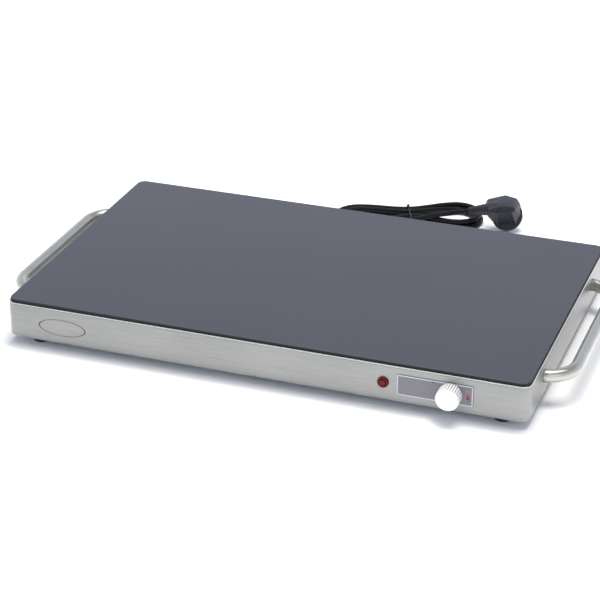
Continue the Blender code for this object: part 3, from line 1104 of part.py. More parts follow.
def plug_frame():
    """Middle and directions of the plug: along the neck, out along the pins, up to the ridge."""
    pins = Vector((math.sin(PLUG_HEADING) * math.cos(PLUG_DIP), math.cos(PLUG_HEADING) * math.cos(PLUG_DIP),
                   -math.sin(PLUG_DIP)))
    level = pins.cross(Vector((0, 0, 1))).normalized()
    along = Matrix.Rotation(PLUG_ROLL, 3, -pins) @ level
    ridge = along.cross(pins)
    middle = Vector((GLAND_X, REAR, 0)) + Vector(PLUG_FROM_GLAND)
    neck = middle - along * PLUG_NECK_REACH + ridge * PLUG_NECK_RISE - pins * PLUG_NECK_BACK
    return {"along": along, "pins": pins, "ridge": ridge, "middle": middle, "neck": neck}


def facing(x_way, y_way, z_way):
    """Euler turn that lays a piece's own X, Y and Z along three directions."""
    return Matrix((x_way, y_way, z_way)).transposed().to_euler()


def build_cord(black, tie_plastic, brass):
    """Free stretch, hank, twist tie and the moulded plug with its pins."""
    free = cord_route()
    tube("mains_cord", free, CORD_DIAMETER, black)
    path = hank_path()
    gap, length = least_gap(path, CORD_DIAMETER)
    print("cord_hank: least gap to itself %.2f mm, length %.3f m" % (gap * 1000, length))
    print("mains_cord: length %.3f m" % sum((q - p).length for p, q in zip(free, free[1:])))
    tube("cord_hank", path, CORD_DIAMETER, black, sides=1)

    around = CORD_DIAMETER / 2 + TIE_GAP + TIE_DIAMETER / 2
    near = hank_point(HANK_LOOPS + (1 - TIE_FLANK_SHARE) / 4)[1] - around
    far = hank_point(HANK_LOOPS - (2 - TIE_FLANK_SHARE) / 4)[1] + around
    low = HANK_FLOOR_GAP + HANK_TIE_LIFT - TIE_GAP - TIE_DIAMETER / 2
    high = HANK_FLOOR_GAP + HANK_TIE_LIFT + HANK_LAYER_STEP + CORD_DIAMETER + TIE_GAP + TIE_DIAMETER / 2
    corner = CORD_DIAMETER / 2
    twist = far * TIE_TWIST_SHARE
    loop = [(twist, high)]
    for turn, sv, sw in ((1, -1, 1), (2, -1, -1), (3, 1, -1), (0, 1, 1)):
        for i in range(4):
            angle = QUARTER_TURN * (turn + i / 3)
            v = (near + corner if sv < 0 else far - corner) + corner * math.cos(angle)
            w = (high - corner if sw > 0 else low + corner) + corner * math.sin(angle)
            loop.append((v, w))
    beside = twist + TIE_DIAMETER + TIE_GAP
    loop.append((beside, high))
    tails = [(0, twist - TIE_TAIL_SPREAD / 2, high + TIE_TAIL),
             (0, beside + TIE_TAIL_SPREAD / 2, high + TIE_TAIL)]
    points = [hank_world(*tails[0])] + [hank_world(0, v, w) for v, w in loop] + [hank_world(*tails[1])]
    tube("twist_tie", points, TIE_DIAMETER, tie_plastic, sides=1)

    build_plug(black, brass)


def build_plug(black, brass):
    """Round face, faceted grip and ribbed neck in one moulding, with the two pins."""
    frame = plug_frame()
    along, pins, ridge, middle = frame["along"], frame["pins"], frame["ridge"], frame["middle"]
    to_pins = facing(along, -ridge, pins)
    from_pins = facing(along, ridge, -pins)
    face = [(0, PLUG_FACE_THICKNESS), (PLUG_FACE_RADIUS - PLUG_FACE_EDGE, PLUG_FACE_THICKNESS),
            (PLUG_FACE_RADIUS, PLUG_FACE_THICKNESS - PLUG_FACE_EDGE), (PLUG_FACE_RADIUS, PLUG_FACE_EDGE),
            (PLUG_FACE_RADIUS - PLUG_FACE_EDGE, 0), (0, 0)]
    plug = turned("plug_body", face, black, middle, to_pins, steps=28)

    outline_points = [(x * PLUG_GRIP_SIZE, y * PLUG_GRIP_SIZE) for x, y in PLUG_GRIP_SHARES]
    depth = PLUG_GRIP_LENGTH + PLUG_FACE_THICKNESS / 2
    grip = flat_curve("plug_grip", [outline_points], depth, black,
                      middle - pins * (PLUG_GRIP_LENGTH - PLUG_FACE_THICKNESS / 2) / 2, from_pins)
    for vertex in grip.data.vertices:
        if vertex.co.z > 0:
            vertex.co.x *= PLUG_GRIP_BACK_SHARE
            vertex.co.y *= PLUG_GRIP_BACK_SHARE
    round_edges(grip, PLUG_GRIP_EDGE)
    cut(plug, hide_tool(settle(grip)), "UNION")

    ribbed = PLUG_NECK_REACH - PLUG_RIBBED_LENGTH
    neck = [(0, PLUG_NECK_REACH), (PLUG_NECK_TIP, PLUG_NECK_REACH)]
    pitch = PLUG_RIBBED_LENGTH / (PLUG_RIBS + 1)
    for rib in range(PLUG_RIBS):
        level = PLUG_NECK_REACH - pitch * (rib + 1)
        radius = PLUG_NECK_TIP + (PLUG_NECK_WAIST - PLUG_NECK_TIP) * (rib + 1) / (PLUG_RIBS + 1)
        neck += [(radius, level + pitch / 4), (radius - PLUG_RIB_DEPTH, level + pitch / 4),
                 (radius - PLUG_RIB_DEPTH, level - pitch / 4), (radius, level - pitch / 4)]
    neck += [(PLUG_NECK_WAIST, ribbed), (PLUG_NECK_ROOT, PLUG_FACE_RADIUS * 0.9),
             (PLUG_NECK_ROOT, PLUG_NECK_ROOT), (0, PLUG_NECK_ROOT)]
    axis = middle + ridge * PLUG_NECK_RISE - pins * PLUG_NECK_BACK
    stem = turned("plug_neck", neck, black, axis, facing(ridge, pins, -along), steps=16)
    cut(plug, hide_tool(stem), "UNION")

    pin_face = middle + pins * PLUG_FACE_THICKNESS
    for name, way in (("lower", -1), ("upper", 1)):
        at = pin_face + ridge * way * PLUG_PIN_PITCH / 2
        cut(plug, drill("pin_socket", PLUG_PIN_RADIUS + FIT, PLUG_PIN_SOCKET + OVERRUN, at + pins * OVERRUN,
                        from_pins, sides=12))
        pin = [(0, PLUG_PIN_LENGTH), (PLUG_PIN_RADIUS * 0.6, PLUG_PIN_LENGTH),
               (PLUG_PIN_RADIUS, PLUG_PIN_LENGTH - PLUG_PIN_RADIUS),
               (PLUG_PIN_RADIUS, -PLUG_PIN_SOCKET + FIT), (0, -PLUG_PIN_SOCKET + FIT)]
        turned("plug_pin_" + name, pin, brass, at, to_pins, steps=12)
    cut(plug, drill("earth_socket", PLUG_EARTH_HOLE, PLUG_EARTH_DEPTH + OVERRUN,
                    pin_face + pins * OVERRUN + along * PLUG_EARTH_OFFSET, from_pins, sides=12))


def main():
    start_scene()
    steel = finish_of("brushed_stainless", (0.62, 0.63, 0.62), 0.32, 1.0)
    bar_steel = finish_of("satin_stainless_bar", (0.66, 0.66, 0.65), 0.25, 1.0)
    glass = finish_of("dark_ceramic_glass", (0.11, 0.12, 0.15), 0.10, 0.0)
    rubber = finish_of("black_rubber", (0.02, 0.02, 0.02), 0.70, 0.0)
    zinc = finish_of("zinc_plated_steel", (0.60, 0.60, 0.58), 0.35, 1.0)
    galvanised = finish_of("galvanised_sheet", (0.50, 0.51, 0.52), 0.50, 1.0)
    aluminium = finish_of("rolled_aluminium", (0.75, 0.76, 0.77), 0.35, 1.0)
    bakelite = finish_of("dark_moulded_plastic", (0.05, 0.05, 0.05), 0.45, 0.0)
    ceramic = finish_of("cream_terminal_plastic", (0.75, 0.72, 0.64), 0.50, 0.0)
    cord_black = finish_of("black_cord_sheath", (0.03, 0.03, 0.035), 0.50, 0.0)

    build_housing(steel)
    build_top(glass, finish_of("grey_silicone", (0.10, 0.10, 0.11), 0.60, 0.0), aluminium)
    build_element(galvanised, zinc, finish_of("element_sheath", (0.25, 0.22, 0.20), 0.45, 1.0))
    build_insulation(finish_of("ceramic_wool", (0.85, 0.84, 0.80), 0.95, 0.0))
    build_base(galvanised, rubber, zinc)
    build_handles(bar_steel, zinc)
    build_knob(finish_of("bright_knob", (0.86, 0.87, 0.86), 0.18, 1.0), bar_steel, zinc, bakelite)
    build_front_trim(finish_of("printed_label", (0.29, 0.28, 0.31), 0.40, 0.0),
                     finish_of("red_lens", (0.45, 0.01, 0.02), 0.15, 0.0), bakelite)
    build_supply(rubber, ceramic, zinc)
    brown = finish_of("brown_wire", (0.20, 0.08, 0.03), 0.45, 0.0)
    blue = finish_of("blue_wire", (0.03, 0.12, 0.45), 0.45, 0.0)
    green = finish_of("green_yellow_wire", (0.25, 0.45, 0.05), 0.45, 0.0)
    build_wiring(brown, blue, green)
    build_sensor(finish_of("copper", (0.72, 0.40, 0.25), 0.30, 1.0))
    build_cord(cord_black, finish_of("tie_plastic", (0.55, 0.56, 0.58), 0.40, 0.0),
               finish_of("nickel_pins", (0.72, 0.70, 0.64), 0.25, 1.0))


main()
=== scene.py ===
"""Electric food warmer tray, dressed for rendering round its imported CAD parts.

Metres, +Z up, the floor at 0, the controls facing -Y. Camera and cord come first, then the
finishes, then the pieces that take the place of plainer CAD nodes.
"""

import math

import bmesh
import bpy
from mathutils import Matrix, Vector


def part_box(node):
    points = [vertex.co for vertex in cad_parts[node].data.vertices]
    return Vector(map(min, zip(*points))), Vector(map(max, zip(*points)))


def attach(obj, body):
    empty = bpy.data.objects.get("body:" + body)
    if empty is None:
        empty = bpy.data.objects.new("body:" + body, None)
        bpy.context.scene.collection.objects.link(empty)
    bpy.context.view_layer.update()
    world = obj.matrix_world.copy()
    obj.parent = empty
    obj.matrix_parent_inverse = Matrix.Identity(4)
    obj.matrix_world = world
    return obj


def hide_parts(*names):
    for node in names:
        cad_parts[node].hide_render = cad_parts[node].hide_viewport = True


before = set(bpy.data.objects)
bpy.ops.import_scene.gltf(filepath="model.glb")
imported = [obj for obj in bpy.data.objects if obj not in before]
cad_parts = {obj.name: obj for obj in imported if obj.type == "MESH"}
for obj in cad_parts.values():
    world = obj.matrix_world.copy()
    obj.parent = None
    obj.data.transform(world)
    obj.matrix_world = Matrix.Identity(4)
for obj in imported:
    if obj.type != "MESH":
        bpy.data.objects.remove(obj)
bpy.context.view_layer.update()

# Camera at the photograph's place, in metres, and the way it looks
CAMERA_PLACE = (0.6798, -1.9250, 1.0209)
CAMERA_AIM = (-0.304641, 0.844847, -0.439804)
CAMERA_LENS = 118.324           # mm
SENSOR_WIDTH = 36               # mm

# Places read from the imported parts
SHELL_LOW, SHELL_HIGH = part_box("housing_shell")
LEFT, FRONT, SHELL_FOOT = SHELL_LOW
RIGHT, REAR, SHELL_TOP = SHELL_HIGH
BODY_Y = (FRONT + REAR) / 2
MIDDLE_HEIGHT = (SHELL_FOOT + SHELL_TOP) / 2
FIT = 0.0003                    # gap between pieces that touch
HALF_TURN = math.pi
QUARTER_TURN = math.pi / 2
TO_FRONT = (QUARTER_TURN, 0, 0)
TO_REAR = (-QUARTER_TURN, 0, 0)

# The folded band, the knob and the print
SHEET = 0.0010                  # steel gauge
CORNER_RADIUS = 0.0110
BEND_RADIUS = 0.0014
FLANGE_WIDTH = 0.0095
HEM_RADIUS = 0.00072
KNOB_RIBS = 28
PRINT_LIFT = 0.00003            # print above its film
INK = 0.00005                   # print's thickness

# Mains lead, as in the part's source
CORD_DIAMETER = 0.0065
GLAND_PLACE = (-0.195, 0.2148, MIDDLE_HEIGHT)   # mouth of the cord bushing
CORD_DROP_ROUTE = ((0.0013, 0.0180, 0.0240), (0.0046, 0.0278, 0.0170), (0.0100, 0.0352, 0.0086),
                   (0.0195, 0.0412, 0.0024), (0.0340, 0.0450, 0.0), (0.0560, 0.0436, 0.0),
                   (0.0800, 0.0322, 0.0), (0.1040, 0.0128, 0.0), (0.1302, -0.0006, 0.0))
CORD_RUN_IN = 0.030
HANK_CENTRE = (0.027, 0.296)
HANK_TURN = math.radians(24.0)
HANK_RUN = 0.125
HANK_FOLD_RADIUS = 0.021
HANK_LOOP_STEP = 0.0080
HANK_LAYER_STEP = 0.0071
HANK_LOOPS = 3.0
HANK_TIE_LIFT = 0.0024
HANK_FLOOR_GAP = 0.0002
HANK_TAIL_ROUTE = ((0.008, -0.0186, 0.0128), (0.021, -0.0208, 0.0162), (0.035, -0.0208, 0.0190),
                   (0.049, -0.0190, 0.0193))
PLUG_MIDDLE = (0.1504, 0.3130, 0.0215)
PLUG_HEADING = math.radians(-6.0)
PLUG_DIP = math.radians(25.0)
PLUG_ROLL = math.radians(10.5)
PLUG_NECK_RISE = 0.0088
PLUG_NECK_BACK = 0.0085
PLUG_NECK_REACH = 0.0460
PLUG_PIN_OFFSET = 0.0095        # each pin from the plug's middle

# How finely the lead's line is drawn
POINTS_A_LOOP = 96
POINTS_PAST_LOOPS = 10          # before the tail rises to the plug
LEAD_STEP = 0.0035


def middle_on_front(node):
    """Middle of a node, on the front wall."""
    low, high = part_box(node)
    return (low[0] + high[0]) / 2, FRONT, (low[2] + high[2]) / 2


KNOB_PLACE = middle_on_front("control_knob")
LAMP_PLACE = middle_on_front("pilot_lamp_lens")


# Steps that every piece shares

def deselect_all():
    """Leave object mode with nothing selected."""
    if bpy.context.object and bpy.context.object.mode != "OBJECT":
        bpy.ops.object.mode_set(mode="OBJECT")
    bpy.ops.object.select_all(action="DESELECT")


def take(piece):
    """Make a piece the only selected one."""
    deselect_all()
    piece.select_set(True)
    bpy.context.view_layer.objects.active = piece
    return piece


def apply_place(piece):
    """Put a piece's place, turn and size into its mesh."""
    take(piece)
    bpy.ops.object.transform_apply(location=True, rotation=True, scale=True)
    return piece


def started(name, size=(1, 1, 1)):
    """Name and size the primitive that was just added."""
    piece = bpy.context.object
    piece.name = name
    piece.data.name = name
    piece.scale = size
    return apply_place(piece)


def edit_all():
    """Open the active piece in edit mode with everything selected."""
    bpy.ops.object.mode_set(mode="EDIT")
    bpy.ops.mesh.select_mode(type="VERT")
    bpy.ops.mesh.select_all(action="SELECT")


def pick(piece, kind, wanted):
    """In edit mode, select the vertices, edges or faces that a test names."""
    bpy.ops.mesh.select_mode(type=kind)
    bpy.ops.mesh.select_all(action="DESELECT")
    mesh = bmesh.from_edit_mesh(piece.data)
    for part in {"VERT": mesh.verts, "EDGE": mesh.edges, "FACE": mesh.faces}[kind]:
        part.select_set(wanted(part))
    bmesh.update_edit_mesh(piece.data)


def settle(piece, angle=35):
    """Apply the place that a piece has been given, with outward faces and smooth shading."""
    apply_place(piece)
    edit_all()
    bpy.ops.mesh.normals_make_consistent(inside=False)
    bpy.ops.object.mode_set(mode="OBJECT")
    bpy.ops.object.shade_smooth_by_angle(angle=math.radians(angle))
    return piece


def set_down(piece, at, turn=(0, 0, 0), angle=35):
    """Settle a piece at its place."""
    piece.location = at
    piece.rotation_euler = turn
    return settle(piece, angle)


def copied(piece, name):
    """A copy of a piece with its own mesh."""
    copy = piece.copy()
    copy.data = piece.data.copy()
    copy.name = name
    copy.data.name = name
    bpy.context.scene.collection.objects.link(copy)
    return copy


def apply_modifiers(piece):
    """Apply a piece's modifiers in order."""
    take(piece)
    for modifier in list(piece.modifiers):
        bpy.ops.object.modifier_apply(modifier=modifier.name)
    return piece


def drawn_out(name, around, rings, at=(0, 0, 0), turn=(0, 0, 0), angle=35, hollow=False):
    """Round piece: a circle extruded and resized through (radius, height) rings.

    A hollow one has a hole down its middle, and its last ring meets its first.
    """
    deselect_all()
    bpy.ops.mesh.primitive_circle_add(vertices=around, radius=rings[0][0],
                                      fill_type="NOTHING" if hollow else "NGON",
                                      location=(0, 0, rings[0][1]))
    piece = started(name)
    edit_all()
    if hollow:
        rings = rings + rings[:1]
    else:
        bpy.ops.mesh.select_mode(type="FACE")
    for (radius, height), (next_radius, next_height) in zip(rings, rings[1:]):
        bpy.ops.mesh.extrude_region_move(
            TRANSFORM_OT_translate={"value": (0, 0, next_height - height)})
        share = next_radius / radius
        if share != 1:
            bpy.ops.transform.resize(value=(share, share, 1), center_override=(0, 0, next_height))
    if hollow:
        bpy.ops.mesh.select_all(action="SELECT")
        bpy.ops.mesh.remove_doubles(threshold=0.00001)
    bpy.ops.object.mode_set(mode="OBJECT")
    return set_down(piece, at, turn, angle)


def round_line(name, points, radius, fineness):
    """A round bar or cord with closed ends, as a curve through points."""
    data = bpy.data.curves.new(name, "CURVE")
    data.dimensions = "3D"
    data.bevel_depth = radius
    data.bevel_resolution = fineness
    data.use_fill_caps = True
    spline = data.splines.new("POLY")
    spline.points.add(len(points) - 1)
    for point, at in zip(spline.points, points):
        point.co = (*at, 1)
    spline.use_smooth = True
    line = bpy.data.objects.new(name, data)
    bpy.context.scene.collection.objects.link(line)
    return line


def round_bar(name, points, radius, fineness):
    """A round bar through points, as a finished mesh."""
    take(round_line(name, points, radius, fineness))
    bpy.ops.object.convert(target="MESH")
    return settle(bpy.context.object, 50)


def block(name, at, size):
    """A block at its place, to start from or to cut with."""
    deselect_all()
    bpy.ops.mesh.primitive_cube_add(size=1, location=at)
    return started(name, size)


def joined(piece, tool, operation="UNION"):
    """Join a tool to a piece or cut the piece by it, and drop the tool."""
    cut = piece.modifiers.new("cut", "BOOLEAN")
    cut.operation = operation
    cut.object = tool
    cut.solver = "EXACT"
    apply_modifiers(piece)
    bpy.data.objects.remove(tool, do_unlink=True)
    return piece


def bored(piece, radius, at, turn, depth=0.008):
    """Cut a round hole through a wall."""
    deselect_all()
    bpy.ops.mesh.primitive_cylinder_add(vertices=48, radius=radius, depth=depth, location=at,
                                        rotation=turn)
    return joined(piece, started("drill"), "DIFFERENCE")


def dress(piece, body, slot, material, *nodes):
    """Give a piece its material and its body, and hide the CAD nodes that it stands for. The slot
    argument is not used.
    """
    piece.data.materials.clear()
    piece.data.materials.append(material)
    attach(piece, body)
    if nodes:
        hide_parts(*nodes)
    return piece


# Camera, floor and light

def build_camera():
    """The photograph's camera: above the front right, level, with a long lens."""
    bpy.ops.object.camera_add(location=CAMERA_PLACE)
    camera = bpy.context.object
    camera.name = "studio_camera"
    camera.data.lens = CAMERA_LENS
    camera.data.sensor_width = SENSOR_WIDTH
    camera.data.clip_end = 50
    camera.rotation_euler = Vector(CAMERA_AIM).to_track_quat("-Z", "Y").to_euler()
    bpy.context.scene.camera = camera


def build_studio():
    """White floor, soft light from above, and a pale surround that is dimmer overhead.

    The softbox lights the scene but isn't mirrored: glass and steel mirror the wider and dimmer
    panel beside it, so that the glass stays dark from above.
    """
    deselect_all()
    bpy.ops.mesh.primitive_plane_add(size=14, location=(0, 0, 0))
    floor = started("studio_floor")
    floor.data.materials.append(finish("matt_white_paper", "#F7F8FA", {
        "Roughness": 0.9, "Specular IOR Level": 0.1})[0])

    surround = bpy.data.worlds.new("soft_surround")
    surround.use_nodes = True
    tree = surround.node_tree
    sky = tree.nodes["Background"]
    sky.inputs["Color"].default_value = srgb("#E7EDF9")
    where = add(tree, "ShaderNodeTexCoord", {})
    # Z is the sine of the height above the horizon: 0.50 is 30 degrees up, 0.75 is 49
    up = add(tree, "ShaderNodeSeparateXYZ", {}, [("Vector", where, "Generated")])
    rise = add(tree, "ShaderNodeMapRange", {
        "interpolation_type": "SMOOTHSTEP", "From Min": 0.50, "From Max": 0.75,
        "To Min": 0.92, "To Max": 0.44}, [("Value", up, "Z")])
    low = add(tree, "ShaderNodeMapRange", {
        "From Min": 0.10, "From Max": 0.38, "To Min": 1.30, "To Max": 1.0}, [("Value", up, "Z")])
    both = add(tree, "ShaderNodeMath", {"operation": "MULTIPLY"},
               [(0, rise, "Result"), (1, low, "Result")])
    link(tree, sky, [("Strength", both, "Value")])
    bpy.context.scene.world = surround
    bpy.context.scene.view_settings.view_transform = "Standard"

    for name, place, aim, size, power, mirrored in (
            ("overhead_softbox", (0.14, 0.34, 2.2), (0, 0, 0), (1.5, 0.5), 38, False),
            ("mirrored_panel", (0.10, 0.24, 2.2), (0, 0, 0), (2.4, 1.7), 26, True),
            ("front_fill", (1.8, -2.0, 1.5), (0.2, -0.2, 0), (1.8, 1.8), 5, True)):
        bpy.ops.object.light_add(type="AREA", location=place)
        lamp = bpy.context.object
        lamp.name = name
        lamp.visible_glossy = mirrored
        lamp.data.shape = "RECTANGLE"
        lamp.data.size, lamp.data.size_y = size
        lamp.data.energy = power
        lamp.data.color = srgb("#FFFBF4")[:3]
        lamp.rotation_euler = (Vector(aim) - Vector(place)).to_track_quat("-Z", "Y").to_euler()


# Mains lead

def smooth_route(route, count=12):
    """A dense smooth line through the route's own points."""
    knots = [Vector(p) for p in route]
    knots = [2 * knots[0] - knots[1]] + knots + [2 * knots[-1] - knots[-2]]
    fine = []
    for a, b, c, d in zip(knots, knots[1:], knots[2:], knots[3:]):
        for i in range(count):
            t = i / count
            fine.append(0.5 * (2 * b + (c - a) * t + (2 * a - 5 * b + 4 * c - d) * t * t
                               + (3 * b - a - 3 * c + d) * t ** 3))
    fine.append(knots[-2])
    return fine


def evenly(line, step):
    """Points at an even step along a line."""
    reach = [0.0]
    for p, q in zip(line, line[1:]):
        reach.append(reach[-1] + (q - p).length)
    count = max(2, round(reach[-1] / step))
    points, k = [], 0
    for i in range(count + 1):
        target = reach[-1] * i / count
        while k < len(reach) - 2 and reach[k + 1] < target:
            k += 1
        share = (target - reach[k]) / (reach[k + 1] - reach[k])
        points.append(line[k].lerp(line[k + 1], min(share, 1.0)))
    return points


def hank_world(u, v, w):
    """A place in the hank's own frame, long axis first, turned into the world."""
    return Vector((HANK_CENTRE[0] + u * math.cos(HANK_TURN) - v * math.sin(HANK_TURN),
                   HANK_CENTRE[1] + u * math.sin(HANK_TURN) + v * math.cos(HANK_TURN), w))


def hank_point(turns):
    """Middle line of the hank after a number of turns: near run, fold, far run, fold."""
    part = (turns - math.floor(turns)) * 4
    spread = abs(turns - HANK_LOOPS / 2) * HANK_LOOP_STEP
    radius = HANK_FOLD_RADIUS + spread
    waist = HANK_LOOP_STEP / 2 + spread
    run = int(part)
    share = part - run
    if run in (0, 2):
        u = (share - 0.5) * HANK_RUN * (1 if run == 0 else -1)
        draw = math.cos(HALF_TURN * u / HANK_RUN) ** 2
        v = (radius - (radius - waist) * draw) * (-1 if run == 0 else 1)
        lift = HANK_TIE_LIFT * draw
    else:
        side = 1 if run == 1 else -1
        u = side * (HANK_RUN / 2 + radius * math.cos((share - 0.5) * HALF_TURN))
        v = side * radius * math.sin((share - 0.5) * HALF_TURN)
        lift = 0
    climb = min(max((turns - HANK_LOOPS / 2) * 4 + 0.5, 0), 1)
    layer = HANK_LAYER_STEP * climb * climb * (3 - 2 * climb)
    return u, v, HANK_FLOOR_GAP + CORD_DIAMETER / 2 + lift + layer


def plug_frame():
    """The plug's directions, along its neck, out its pins and up its ridge, and its neck's end."""
    level_reach = math.cos(PLUG_DIP)
    pins = Vector((math.sin(PLUG_HEADING) * level_reach, math.cos(PLUG_HEADING) * level_reach,
                   -math.sin(PLUG_DIP)))
    level = pins.cross(Vector((0, 0, 1))).normalized()
    along = Matrix.Rotation(PLUG_ROLL, 3, -pins) @ level
    ridge = along.cross(pins)
    neck = (Vector(PLUG_MIDDLE) - along * PLUG_NECK_REACH + ridge * PLUG_NECK_RISE
            - pins * PLUG_NECK_BACK)
    return along, pins, ridge, neck


def lead_line():
    """The whole lead from the bushing, down to the floor, round the hank and up to the plug."""
    x, y, z = GLAND_PLACE
    floor = HANK_FLOOR_GAP + CORD_DIAMETER / 2
    start = hank_world(*hank_point(0))
    ahead = (hank_world(*hank_point(1 / 20)) - start).normalized()
    route = [(x, y + FIT + CORD_DIAMETER, z)]
    route += [(x + dx, y + dy, floor + dz) for dx, dy, dz in CORD_DROP_ROUTE]
    free = smooth_route(route + [start - ahead * CORD_RUN_IN, start - ahead * CORD_DIAMETER])
    for point in free:
        point.z = max(point.z, floor)
    loops = [hank_world(*hank_point(i / POINTS_A_LOOP))
             for i in range(int(HANK_LOOPS * POINTS_A_LOOP) + POINTS_PAST_LOOPS)]
    along, _, _, neck = plug_frame()
    meet = neck - along * FIT
    tail = [hank_world(*p) for p in HANK_TAIL_ROUTE]
    rise = smooth_route(loops[-1:] + tail
                        + [meet - along * CORD_DIAMETER * 2, meet - along * CORD_DIAMETER, meet])
    return evenly([Vector((x, y + FIT, z))] + free + loops + rise[1:], LEAD_STEP)


def build_lead(sheath):
    """One smooth round lead in place of the CAD's free stretch and hank."""
    line = lead_line()
    lead = round_line("mains_lead", line, CORD_DIAMETER / 2, 5)
    dress(lead, "tray", "black_cord_sheath", sheath, "mains_cord", "cord_hank")


# Finishes

def srgb(text):
    """An sRGB hex colour as linear RGBA."""
    values = [int(text[i:i + 2], 16) / 255 for i in (1, 3, 5)]
    return (*(v / 12.92 if v <= 0.04045 else ((v + 0.055) / 1.055) ** 2.4 for v in values), 1)


def link(tree, node, links):
    """Link a node's inputs, each given as (socket, node, output)."""
    for socket, source, output in links:
        tree.links.new(source.outputs[output], node.inputs[socket])


def add(tree, kind, settings, links=()):
    """Add a node, set its sockets or properties, and link its inputs."""
    node = tree.nodes.new(kind)
    for key, value in settings.items():
        if isinstance(key, int) or key in node.inputs:
            node.inputs[key].default_value = value
        else:
            setattr(node, key, value)
    link(tree, node, links)
    return node


def finish(name, colour, sockets):
    """A new material with its shader's own sockets set, and object coordinates to build on."""
    made = bpy.data.materials.new(name)
    made.use_nodes = True
    tree = made.node_tree
    shader = tree.nodes["Principled BSDF"]
    shader.inputs["Base Color"].default_value = srgb(colour)
    for socket, value in sockets.items():
        shader.inputs[socket].default_value = value
    return made, tree, shader, add(tree, "ShaderNodeTexCoord", {})


def brushed(name, dark, light, roughness, grain, streak=0.12, bump=0.10, across=0.0):
    """Brushed stainless 304: fine straight scratches that stretch along the grain's long axis.

    The grain is given as noise cells per metre along X, Y and Z. Real lines are about 0.1 mm
    apart; they are drawn 0.5 to 1 mm apart here, so that they show. Lines along a wall blur
    what it mirrors across them, which the anisotropy gives.
    """
    made, tree, shader, place = finish(name, light, {
        "Metallic": 1.0, "Roughness": roughness, "Anisotropic": across,
        "Anisotropic Rotation": 0.25})
    lines = add(tree, "ShaderNodeMapping", {"Scale": grain}, [("Vector", place, "Object")])
    fine = add(tree, "ShaderNodeTexNoise", {"Scale": 1.0, "Detail": 4.0, "Roughness": 0.7},
               [("Vector", lines, "Vector")])
    cloud = add(tree, "ShaderNodeTexNoise", {"Scale": 9.0, "Detail": 2.0},
                [("Vector", place, "Object")])
    blend = add(tree, "ShaderNodeMath", {"operation": "MULTIPLY_ADD", 1: 0.30},
                [(0, cloud, "Fac"), (2, fine, "Fac")])
    tint = add(tree, "ShaderNodeMapRange", {"From Min": 0.40, "From Max": 0.90},
               [("Value", blend, "Value")])
    mix = add(tree, "ShaderNodeMix", {"data_type": "RGBA", 6: srgb(dark), 7: srgb(light)},
              [(0, tint, "Result")])
    gloss = add(tree, "ShaderNodeMapRange", {
        "From Min": 0.3, "From Max": 0.7, "To Min": roughness - streak / 2,
        "To Max": roughness + streak / 2}, [("Value", fine, "Fac")])
    ridges = add(tree, "ShaderNodeBump", {"Strength": bump, "Distance": 0.00004},
                 [("Height", fine, "Fac")])
    link(tree, shader, [("Base Color", mix, 2), ("Roughness", gloss, "Result"),
                        ("Normal", ridges, "Normal")])
    return made


def moulded(name, colour, worn, roughness, grain=900.0, bump=0.25, shine=0.5):
    """Moulded plastic, rubber or print: a fine eroded grain, with slightly paler, drier patches.

    The grain is in noise cells per metre. The real one is about 0.1 mm; 900 draws it as 1.1 mm,
    so that it shows.
    """
    made, tree, shader, place = finish(name, colour, {
        "Roughness": roughness, "Specular IOR Level": shine})
    patches = add(tree, "ShaderNodeTexNoise", {"Scale": 35.0, "Detail": 3.0},
                  [("Vector", place, "Object")])
    mix = add(tree, "ShaderNodeMix", {"data_type": "RGBA", 6: srgb(colour), 7: srgb(worn)},
              [(0, patches, "Fac")])
    skin = add(tree, "ShaderNodeTexNoise", {"Scale": grain, "Detail": 2.0},
               [("Vector", place, "Object")])
    dry = add(tree, "ShaderNodeMapRange", {
        "To Min": roughness - 0.06, "To Max": roughness + 0.08}, [("Value", patches, "Fac")])
    pores = add(tree, "ShaderNodeBump", {"Strength": bump, "Distance": 0.00006},
                [("Height", skin, "Fac")])
    link(tree, shader, [("Base Color", mix, 2), ("Roughness", dry, "Result"),
                        ("Normal", pores, "Normal")])
    return made


